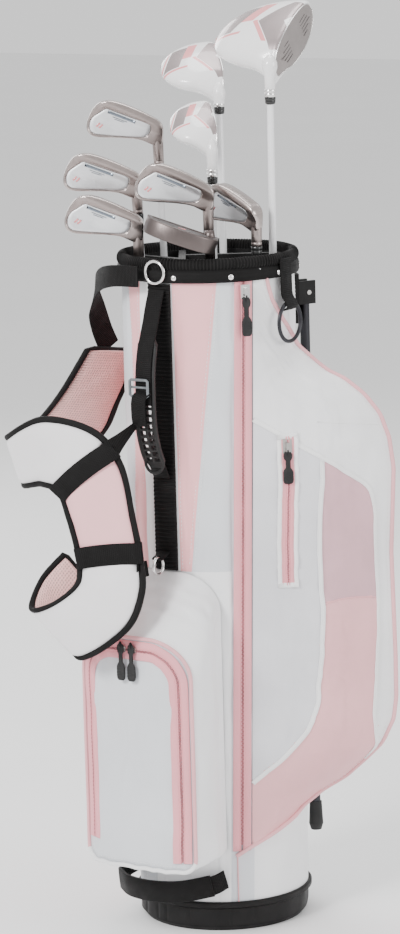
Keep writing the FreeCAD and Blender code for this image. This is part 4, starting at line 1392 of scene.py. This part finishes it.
CLUBS = {
    "driver": Club("wood", (78, 12), (83, -33), 1136, 60, 57, 66, (120, 62, 104)),
    "fairway": Club("wood", (22, 45), (20.5, 86), 1094, 100, 57, 46, (98, 44, 66)),
    "hybrid": Club("wood", (0, 15), (8, 8), 1028, 100, 59, 62, (86, 38, 46)),
    "iron_a": Club("iron", (-35, 52), (-57, 55), 1034, 180, 62, 56, (82, 51, 17)),
    "iron_b": Club("iron", (-45, 14), (-86, 27), 970, 180, 62, 52, (84, 52, 17)),
    "iron_c": Club("iron", (-72, -20), (-88, -8), 918, 180, 62, 56, (84, 53, 18)),
    "iron_d": Club("iron", (0, -38), (2, -50), 959, 180, 62, 64, (84, 52, 18)),
    "wedge": Club("iron", (50, -55), (62, -63), 933, 139, 63, 50, (74, 52, 19)),
    "putter": Club("putter", (0, -76), (3, -81), 901, 180, 70, 40, (94, 20, 46)),
}
HOSEL_R = 0.0067


def wood_sole_paint():
    """White lacquer with a satin mauve-grey panel and pink chevrons, placed by (across, back) in 0..1."""
    m = Nodes("wood_sole_lacquer")
    parts = m.add("SeparateXYZ", Vector=m.add("TexCoord").outputs["UV"])
    x = m.math("SUBTRACT", parts.outputs["X"], 0.5)
    v = parts.outputs["Y"]
    u = m.math("ABSOLUTE", x)
    vee = m.math("ADD", v, m.math("MULTIPLY", u, 0.8))
    slant = m.math("ADD", v, m.math("MULTIPLY", x, 0.55))

    def below(value, hi):
        return m.math("LESS_THAN", value, hi)

    def window(value, lo, hi):
        return m.math("MULTIPLY", m.math("GREATER_THAN", value, lo), below(value, hi))

    def also(a, b):
        return m.math("MULTIPLY", a, b)

    def either(a, b):
        return m.math("MAXIMUM", a, b)

    def rear(lo, hi):
        return also(window(slant, lo, hi), window(x, -0.12, 0.30))

    panel = either(also(window(vee, 0.07, 0.40), below(u, 0.36)), rear(0.66, 0.92))
    edge = either(also(window(vee, 0.40, 0.412), below(u, 0.37)), rear(0.92, 0.935))
    broad = also(also(window(vee, 0.412, 0.475), below(x, 0.02)), below(u, 0.30))
    block = also(window(slant, 0.50, 0.66), window(x, 0.02, 0.34))
    band = also(window(slant, 0.50, 0.93), window(x, -0.17, -0.135))
    pink = either(either(broad, block), either(rear(0.945, 0.975), band))
    color = m.mix(panel, (0.86, 0.85, 0.85), (0.33, 0.27, 0.27))
    color = m.mix(pink, color, HEAD_PINK)
    color = m.mix(edge, color, (0.93, 0.93, 0.93))
    speck = m.remap(m.noise(500.0), 0.96, 1.04)
    return m.shading(
        Base_Color=m.mix(m.math("MULTIPLY", speck, 0.06), color, (0.9, 0.88, 0.88)),
        Roughness=m.math("ADD", m.math("MULTIPLY", panel, 0.20), m.remap(m.noise(70.0), 0.16, 0.26)),
        Metallic=m.math("MULTIPLY", panel, 0.7), Coat_Weight=0.6,
        Normal=m.bump(m.math("SUBTRACT", 1.0, either(edge, panel)), 0.0003, 0.6))


MAT["wood_sole"] = wood_sole_paint()


def ferrule(name, club, ring):
    """A black ferrule where the shaft leaves the hosel, with a bright ring above it on woods."""
    if ring:
        profile = [(-0.0096, 0.0067), (-0.0094, 0.0070), (-0.0060, 0.0070), (-0.0058, 0.0067),
                   (-0.0052, 0.0067),
                   (-0.0050, 0.0070), (0.0, 0.0070), (0.0002, 0.0066), (0.0008, 0.0070), (0.0040, 0.0069),
                   (0.0043, 0.0066),
                   (0.0047, 0.0068), (0.0085, 0.0064), (0.0095, 0.0056), (0.0097, 0.0048)]
    else:
        profile = [(-0.0004, 0.0066), (0.0, 0.0070), (0.0040, 0.0070), (0.0044, 0.0067), (0.0048, 0.0069),
                   (0.012, 0.0062),
                   (0.020, 0.0053), (0.022, 0.0048)]
    base = club.sole + club.down * club.hosel
    obj = turned(name + "_ferrule", profile, base, club.down, ["chrome", "ferrule"], name, 32,
                 6 if ring else 0)


def wood(name, club):
    width, height, depth = (x / MM for x in club.size)
    around, back_rows, front_rows = 96, 30, 8
    cs, ck, ct = width / 2 - 13, 0.43 * height, -2.0
    rows = []
    face_t = 10.0
    for i in range(front_rows + 1):
        t = face_t * (1 - i / front_rows)
        rows.append((t, (1 - (t / 14.0) ** 4) ** 0.25))
    rows[0] = (face_t, rows[0][1] - 0.025)
    for i in range(1, back_rows + 1):
        a = pi / 2 * i / back_rows
        rows.append((-depth * sin(a), max(cos(a), 0.0) ** 0.82))
    outline = []
    for j in range(around):
        x, y = cos(2 * pi * j / around), sin(2 * pi * j / around)
        outline.append((x, y, height / 2 * (y if y > 0 else 0.86 * -abs(y) ** 0.62)))

    def drawn(p, across, t):
        """The heel end drawn down along the shaft and in towards it, so the head runs into its neck."""
        heel = ease(clamp((-across - 0.50) / 0.5)) * clamp(1.0 - abs(t - 2.0) / 34.0)
        off = p - club.sole
        deep = off.dot(club.axis)
        aside = off - club.axis * deep
        return club.sole + club.axis * (deep - 0.020 * heel ** 1.5) + aside * (1.0 - 0.42 * heel)

    verts, uvs = [], []
    for t, r in rows:
        for x, y, up in outline:
            pear = 1.0 - 0.10 * (x * 0.5 + 0.5) * clamp(-t / depth)
            lift = 0.16 * height * clamp(-t / depth) ** 2 * (1 if y < 0 else 0.3)
            verts.append(drawn(club.at(cs + width / 2 * x * r * pear, ck + up * r + lift, ct + t), x * r, t))
            uvs.append((0.5 + 0.5 * x * r, clamp((face_t - t) / (depth + face_t))))
    index = [int(j >= around // 2) for _ in rows[1:] for j in range(around)] + [0]
    faces = [f[::-1] for f in grid_faces(len(rows), around, wrap_cols=True)]
    faces.append(tuple(range(len(verts) - around, len(verts))))
    mesh = piece(name + "_head_shell", verts, faces, ["head_white", "wood_sole"], name, index, uvs)
    plate, plate_uv = [], []
    steps = 10
    r = rows[0][1]
    for i in range(steps + 1):
        f = 1 - i / steps
        for x, _, up in outline:
            spot = club.at(cs + width / 2 * x * r * f, ck + up * r * f, ct + face_t + 0.9 * (1 - f * f))
            plate.append(drawn(spot, x * r * f, face_t))
            plate_uv.append((x * r * f * width / 2 * MM, up * r * f * MM))
    faces = grid_faces(steps + 1, around, wrap_cols=True)
    strike = piece(name + "_face_plate", plate, faces, "face", name, None, plate_uv)
    rim = tube(name + "_face_edge", plate[:around] + [plate[0]], 0.0008, "chrome", name, 6)
    lines = []
    for side in (-1, 1):
        for k in range(5):
            y = ck + (k - 2) * 0.085 * height + 0.03 * height
            reach = 0.36 - 0.035 * abs(k - 2) * (1 if (k - 2) * side < 0 else 1.6)
            a = club.at(cs + side * width * 0.15, y, ct + face_t + 0.82)
            b = club.at(cs + side * width * reach, y, ct + face_t + 0.62)
            line = [a, a.lerp(b, 0.5) + club.t * 0.0001, b]
            lines.append(tube(f"{name}_score_{side}_{k}", line, 0.0004, "groove", name, 5))
    scores = joined(name + "_score_lines", lines, name)
    flare = 0.0105 * height / 62 + 0.0035
    neck = [(0.014, flare * 0.2), (0.018, flare * 0.5), (0.023, flare * 0.68),
            (0.029, lerp(flare, 0.0074, 0.62)),
            (0.036, lerp(flare, 0.0070, 0.85)), (0.044, 0.0068), (club.hosel, HOSEL_R)]
    hosel = turned(name + "_neck", neck, club.sole, club.down, "head_white", name, 40)
    ferrule(name, club, True)
    subdivide(mesh)
    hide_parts(name + "_head")


def inset_loop(points, d):
    """A closed outline moved inwards by d along its own normals, smoothed where it is tight."""
    n = len(points)
    out = []
    for i, p in enumerate(points):
        t = (points[(i + 2) % n] - points[i - 2]).normalized()
        out.append(p + vec(-t.y, t.x) * d)
    for _ in range(int(d * 1.6)):
        out = [(out[i - 1] + out[i] * 2 + out[(i + 1) % n]) / 4 for i in range(n)]
    return out


class Star:
    """A closed outline kept as a radius for each direction from a centre."""

    def __init__(self, points, centre, count):
        self.centre = centre
        self.count = count
        smooth = curve_points([vec(x, y) for x, y in points], 12, closed=True)
        polar_pts = sorted((atan2(p.y - centre.y, p.x - centre.x), (p - centre).length) for p in smooth)
        first, last = polar_pts[0], polar_pts[-1]
        table = [(last[0] - 2 * pi, last[1])] + polar_pts + [(first[0] + 2 * pi, first[1])]
        self.radii = [between(table, -pi + 2 * pi * (k + 0.5) / count) for k in range(count)]

    def ring(self, inset=0.0, scale=1.0):
        out = []
        for k, r in enumerate(self.radii):
            a = -pi + 2 * pi * (k + 0.5) / self.count
            size = max(r - inset, 0.0) * scale
            out.append(self.centre + vec(cos(a), sin(a)) * size)
        return out


# Shares of an iron's length and height: the outline's upper part, from the toe to the heel, and its cavity.
IRON_TOP = [(1.0, 0.46), (0.985, 0.78), (0.91, 0.97), (0.78, 1.0), (0.55, 0.86), (0.3, 0.69), (0.08, 0.58)]
IRON_CAVITY = [(0.05, 0.18), (0.12, 0.13), (0.40, 0.165), (0.66, 0.20), (0.77, 0.215), (0.815, 0.25),
               (0.87, 0.38),
               (0.94, 0.57), (0.945, 0.74), (0.90, 0.885), (0.84, 0.93), (0.75, 0.915), (0.3, 0.635),
               (0.09, 0.485),
               (0.035, 0.36)]


def iron(name, club):
    length, high, sole_t = (x / MM for x in club.size)
    shape = [(-15, 12), (-10, 2), (-2, -3.2), (0.2 * length, -4.6), (0.45 * length, -4.4),
             (0.68 * length, -2.6),
             (0.84 * length, 1.5), (0.955 * length, 10)]
    shape += [(x * length, y * high) for x, y in IRON_TOP] + [(-13, 0.56 * high), (-18, 0.42 * high)]
    inner = [(x * length, y * high) for x, y in IRON_CAVITY]
    centre = vec(0.48 * length, 0.42 * high)
    count = 132
    outline, cavity = Star(shape, centre, count), Star(inner, centre, count)

    def back(y):
        return -between([(-5, sole_t - 5), (0, sole_t - 3.4), (3, sole_t - 3.6), (14, 8.4), (high * 0.6, 5.4),
                         (high, 4.0)], y)

    verts, index, uvs = [], [], []

    def ring(points, level):
        for p in points:
            verts.append(club.at(p.x, p.y, level(p)))
            uvs.append((p.x * MM, p.y * MM))

    edge = outline.ring()
    ring(outline.ring(1.6), lambda p: 4.0)
    ring(outline.ring(0.5), lambda p: 3.6)
    ring(edge, lambda p: 2.4)
    ring(edge, lambda p: lerp(2.4, back(p.y), 0.5))
    ring(outline.ring(0.2), lambda p: back(p.y) + 1.8)
    ring(outline.ring(0.9), lambda p: back(p.y) + 0.6)
    ring(outline.ring(2.2), lambda p: back(p.y))
    wall = [(p + q) / 2 for p, q in zip(outline.ring(2.2), cavity.ring(-1.4))]
    ring(wall, lambda p: back(p.y) - 0.1)
    ring(cavity.ring(-1.4), lambda p: back(p.y))
    ring(cavity.ring(-0.7), lambda p: back(p.y) + 0.3)
    ring(cavity.ring(-0.4), lambda p: back(p.y) + 1.6)
    for scale in (1.0, 0.8, 0.6, 0.4, 0.2):
        ring(cavity.ring(0.6, scale), lambda p: back(p.y) + 2.0)
    for i in range(len(verts) // count - 1):
        index += [int(2 <= i <= 5 or i >= 8)] * count
    index += [2, 0]
    faces = ring_faces(len(verts), count)
    head = piece(name + "_blade", verts, faces, ["iron", "iron_edge", "face"], name, index, uvs)

    def plate_level(p):
        return back(p.y) + 0.2 + 0.5 * clamp(((p - centre).length / (0.45 * length)) ** 2)

    flat, flat_uv = [], []
    steps = [(0.1, 1.0, 1.4), (0.3, 1.0, 0.4), (0.9, 1.0, 0.0)] + [(0.9, 1 - k / 8, 0.0) for k in range(1, 9)]
    for inset, scale, drop in steps:
        for p in cavity.ring(inset, max(scale, 0.001)):
            flat.append(club.at(p.x, p.y, plate_level(p) + drop))
            flat_uv.append((p.x * MM, p.y * MM))
    faces = grid_faces(len(steps), count, wrap_cols=True)
    plate = piece(name + "_cavity_badge", flat, faces, "badge", name, None, flat_uv)

    def on_plate(f, g, lift=0.62):
        p = vec(f * length, g * high)
        return club.at(p.x, p.y, plate_level(p) - lift)

    bars = []
    for k, (g0, g1, f0, f1, thick) in enumerate(((0.275, 0.225, 0.76, 0.30, 3.8),
                                                 (0.345, 0.315, 0.66, 0.42, 0.7),
                                                 (0.38, 0.355, 0.62, 0.46, 0.7))):
        ends = [on_plate(lerp(f0, f1, j / 8), lerp(g0, g1, j / 8)) for j in range(9)]
        bars.append(ribbon(f"{name}_bar_{k}", ends, club.k, thick * MM, 0.0005, "badge_bar", name))
    for k in range(2):
        ends = [on_plate(0.80 - 0.05 * k, 0.63), on_plate(0.83 - 0.05 * k, 0.75)]
        bars.append(ribbon(f"{name}_mark_{k}", ends, club.s, 0.0022, 0.0005, "head_pink", name))
    stripe = joined(name + "_badge_bars", bars, name)
    scores = []
    for k in range(9):
        line = [club.at(length * f, 6 + k * 3.1, 4.05) for f in (0.16, 0.5, 0.80)]
        scores.append(tube(f"{name}_groove_{k}", line, 0.0004, "groove", name, 4))
    grooves = joined(name + "_face_grooves", scores, name)
    neck = [(0.0, 0.0030), (0.002, 0.0048), (0.007, 0.0062), (0.014, 0.0069), (0.024, 0.0071),
            (0.034, 0.0069),
            (club.hosel - 0.006, HOSEL_R), (club.hosel - 0.0056, HOSEL_R - 0.0003),
            (club.hosel - 0.005, HOSEL_R),
            (club.hosel, HOSEL_R)]
    hosel = turned(name + "_neck", neck, club.sole, club.down, "iron", name, 40)
    ferrule(name, club, False)
    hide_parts(name + "_head")


def putter(name, club):
    length, high, depth = (x / MM for x in club.size)
    mid = length / 2 - 12
    plan = [vec(-12, 6), vec(mid, 6), vec(length - 12, 6), vec(length - 12, -2),
            vec(length - 12, -12)]
    for k in range(1, 12):
        a = pi * k / 12
        plan.append(vec(mid + (length / 2 - 1) * cos(a), -12 - (depth - 12) * sin(a) ** 0.8))
    plan += [vec(-12, -12), vec(-12, -2)]
    outline = list(reversed(curve_points(plan, 6, closed=True)))
    outline = [vec(clamp(p.x, -12, length - 12), clamp(p.y, -depth, 6)) for p in outline]
    verts, uvs = [], []
    levels = ((4.0, high), (1.0, high), (0.3, high - 0.4), (0.0, high - 1.4), (0.0, 2.0), (0.4, 0.6),
              (1.4, 0.0), (6.0, 0.0),
              (6.8, 0.9), (12.0, 1.0))
    for d, k in levels:
        for p in inset_loop(outline, d):
            verts.append(club.at(p.x, k, p.y))
            uvs.append((p.x * MM, p.y * MM))
    head = piece(name + "_mallet", verts, ring_faces(len(verts), len(outline)), "mallet", name, None, uvs)
    lines = []
    for k in range(7):
        y = -10 - 3.4 * k
        half = (length / 2 - 14) * sqrt(max(1 - ((-y - 10) / (depth - 12)) ** 2, 0.05))
        pts = [club.at(mid + half * f, 0.9, y) for f in (-1, -0.5, 0, 0.5, 1)]
        lines.append(tube(f"{name}_line_{k}", pts, 0.00035, "groove", name, 4))
    sight = [club.at(mid, high + 0.2, y) for y in (4, -16, -34)]
    lines.append(ribbon(f"{name}_sight", sight, club.s, 0.0024, 0.0004, "head_white", name))
    mark = [club.at(mid - 3, 0.5, -22), club.at(mid + 6, 0.5, -26)]
    lines.append(ribbon(f"{name}_mark", mark, club.t, 0.0034, 0.0006, "head_pink", name))
    grooves = joined(name + "_sole_lines", lines, name)
    neck = [(-0.006, 0.0060), (0.0, 0.0068), (0.008, 0.0068), (club.hosel, HOSEL_R - 0.0002)]
    hosel = turned(name + "_neck", neck, club.sole, club.down, "mallet", name, 36)
    ferrule(name, club, False)
    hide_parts(name + "_head")


def clubs():
    make = {"wood": wood, "iron": iron, "putter": putter}
    for name, club in CLUBS.items():
        make[club.kind](name, club)


# ------------------------------------------------------------------ rubber pulls
def rubber_pull(node, top_gap, out, width):
    """A moulded zipper puller: a thin neck, a shouldered tab with raised ribs."""
    lo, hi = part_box(node)
    mid = (lo + hi) / 2
    hinge, tip = vec(mid.x, mid.y, hi.z - top_gap), vec(mid.x, mid.y, lo.z)
    down = (tip - hinge).normalized()
    side = down.cross(out).normalized()
    normal = side.cross(down).normalized()
    length = (tip - hinge).length
    half = width / 2
    outline = [(0.0, 0.45), (0.05, 0.75), (0.14, 0.86), (0.23, 0.72), (0.28, 0.46), (0.50, 0.46),
               (0.56, 0.78), (0.63, 0.98),
               (0.90, 1.0), (0.97, 0.86), (1.0, 0.6)]
    verts, uvs = [], []
    profile = ((-1, -0.4), (-0.8, -1), (0, -1.1), (0.8, -1), (1, -0.4), (1, 0.4), (0.8, 1), (0, 1.1),
               (-0.8, 1), (-1, 0.4))
    steps = 48
    for i in range(steps + 1):
        f = i / steps
        w = half * between(outline, f)
        rib = 0.00035 * (cos(2 * pi * (f - 0.34) / 0.075)) if 0.66 < f < 0.94 else 0.0
        thick = (0.0014 if f > 0.2 else 0.0011) + rib
        for a, b in profile:
            verts.append(hinge + down * (length * f) + side * (a * w) + normal * (b * thick))
            uvs.append((f * length, a * w))
    faces = ring_faces(len(verts), len(profile), turned_in=True)
    tab = piece(node + "_tab", verts, faces, "rubber", node, None, uvs)
    loop = []
    for k in range(13):
        a = 2 * pi * k / 12
        loop.append(hinge + down * (0.0034 * sin(a) + 0.001) + normal * (0.0018 * cos(a) + 0.0005))
    eye = tube(node + "_eye", loop, 0.0011, "rubber", node)
    both = joined(node + "_rubber", [tab, eye], node)
    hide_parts(node)


def pulls():
    lo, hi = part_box("main_pull")
    rubber_pull("main_pull", 0.004, polar(1.0, zip_deg(((lo + hi) / 2).z)), 0.0135)
    across = wing_point(0.632, 0.28) - wing_point(0.632, 0.18)     # the pocket at the small zipper's top
    rubber_pull("small_pull", 0.004, across.cross(UP).normalized(), 0.0135)
    for node in ("ball_pull_left", "ball_pull_right"):
        rubber_pull(node, 0.001, FRONT, 0.0125)


# ------------------------------------------------------------------ hardware kept from the CAD
def finish_hardware():
    plan = {
        "base_boot": ("plastic", 0.0012), "club_divider": ("divider", 0.0016), "spine_rings": ("chrome", 0),
        "leg_bracket": ("plastic", 0.0008), "pivot_pins": ("zinc", 0), "towel_ring": ("dark_ring", 0),
        "push_rod": ("rod", 0),
        "kick_lever": ("plastic", 0.0007), "leg_left": ("leg", 0), "leg_right": ("leg", 0),
        "foot_left": ("rubber", 0.0008),
        "foot_right": ("rubber", 0.0008), "main_slider": ("chrome", 0.0008), "small_slider": ("zinc", 0.0008),
    }
    for name in CLUBS:
        plan[name + "_shaft"] = ("chrome" if name == "putter" else "shaft", 0)
        plan[name + "_grip"] = ("grip", 0)
    for node, (mat, bevel) in plan.items():
        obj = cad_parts[node]
        obj.data.materials.clear()
        obj.data.materials.append(MAT[mat])
        if bevel:
            settle(obj.modifiers.new("edge", "BEVEL"), width=bevel, segments=2, limit_method="ANGLE",
                   angle_limit=radians(40))


# ------------------------------------------------------------------ the whole scene
camera()
studio()
bag_skin()
collar()
face = apparel_pocket()
main_zipper()
small_zipper(face)
ball_pocket()
shoulder_strap()
carry_handle()
spine()
base_handle()
towel_loop()
clubs()
pulls()
finish_hardware()
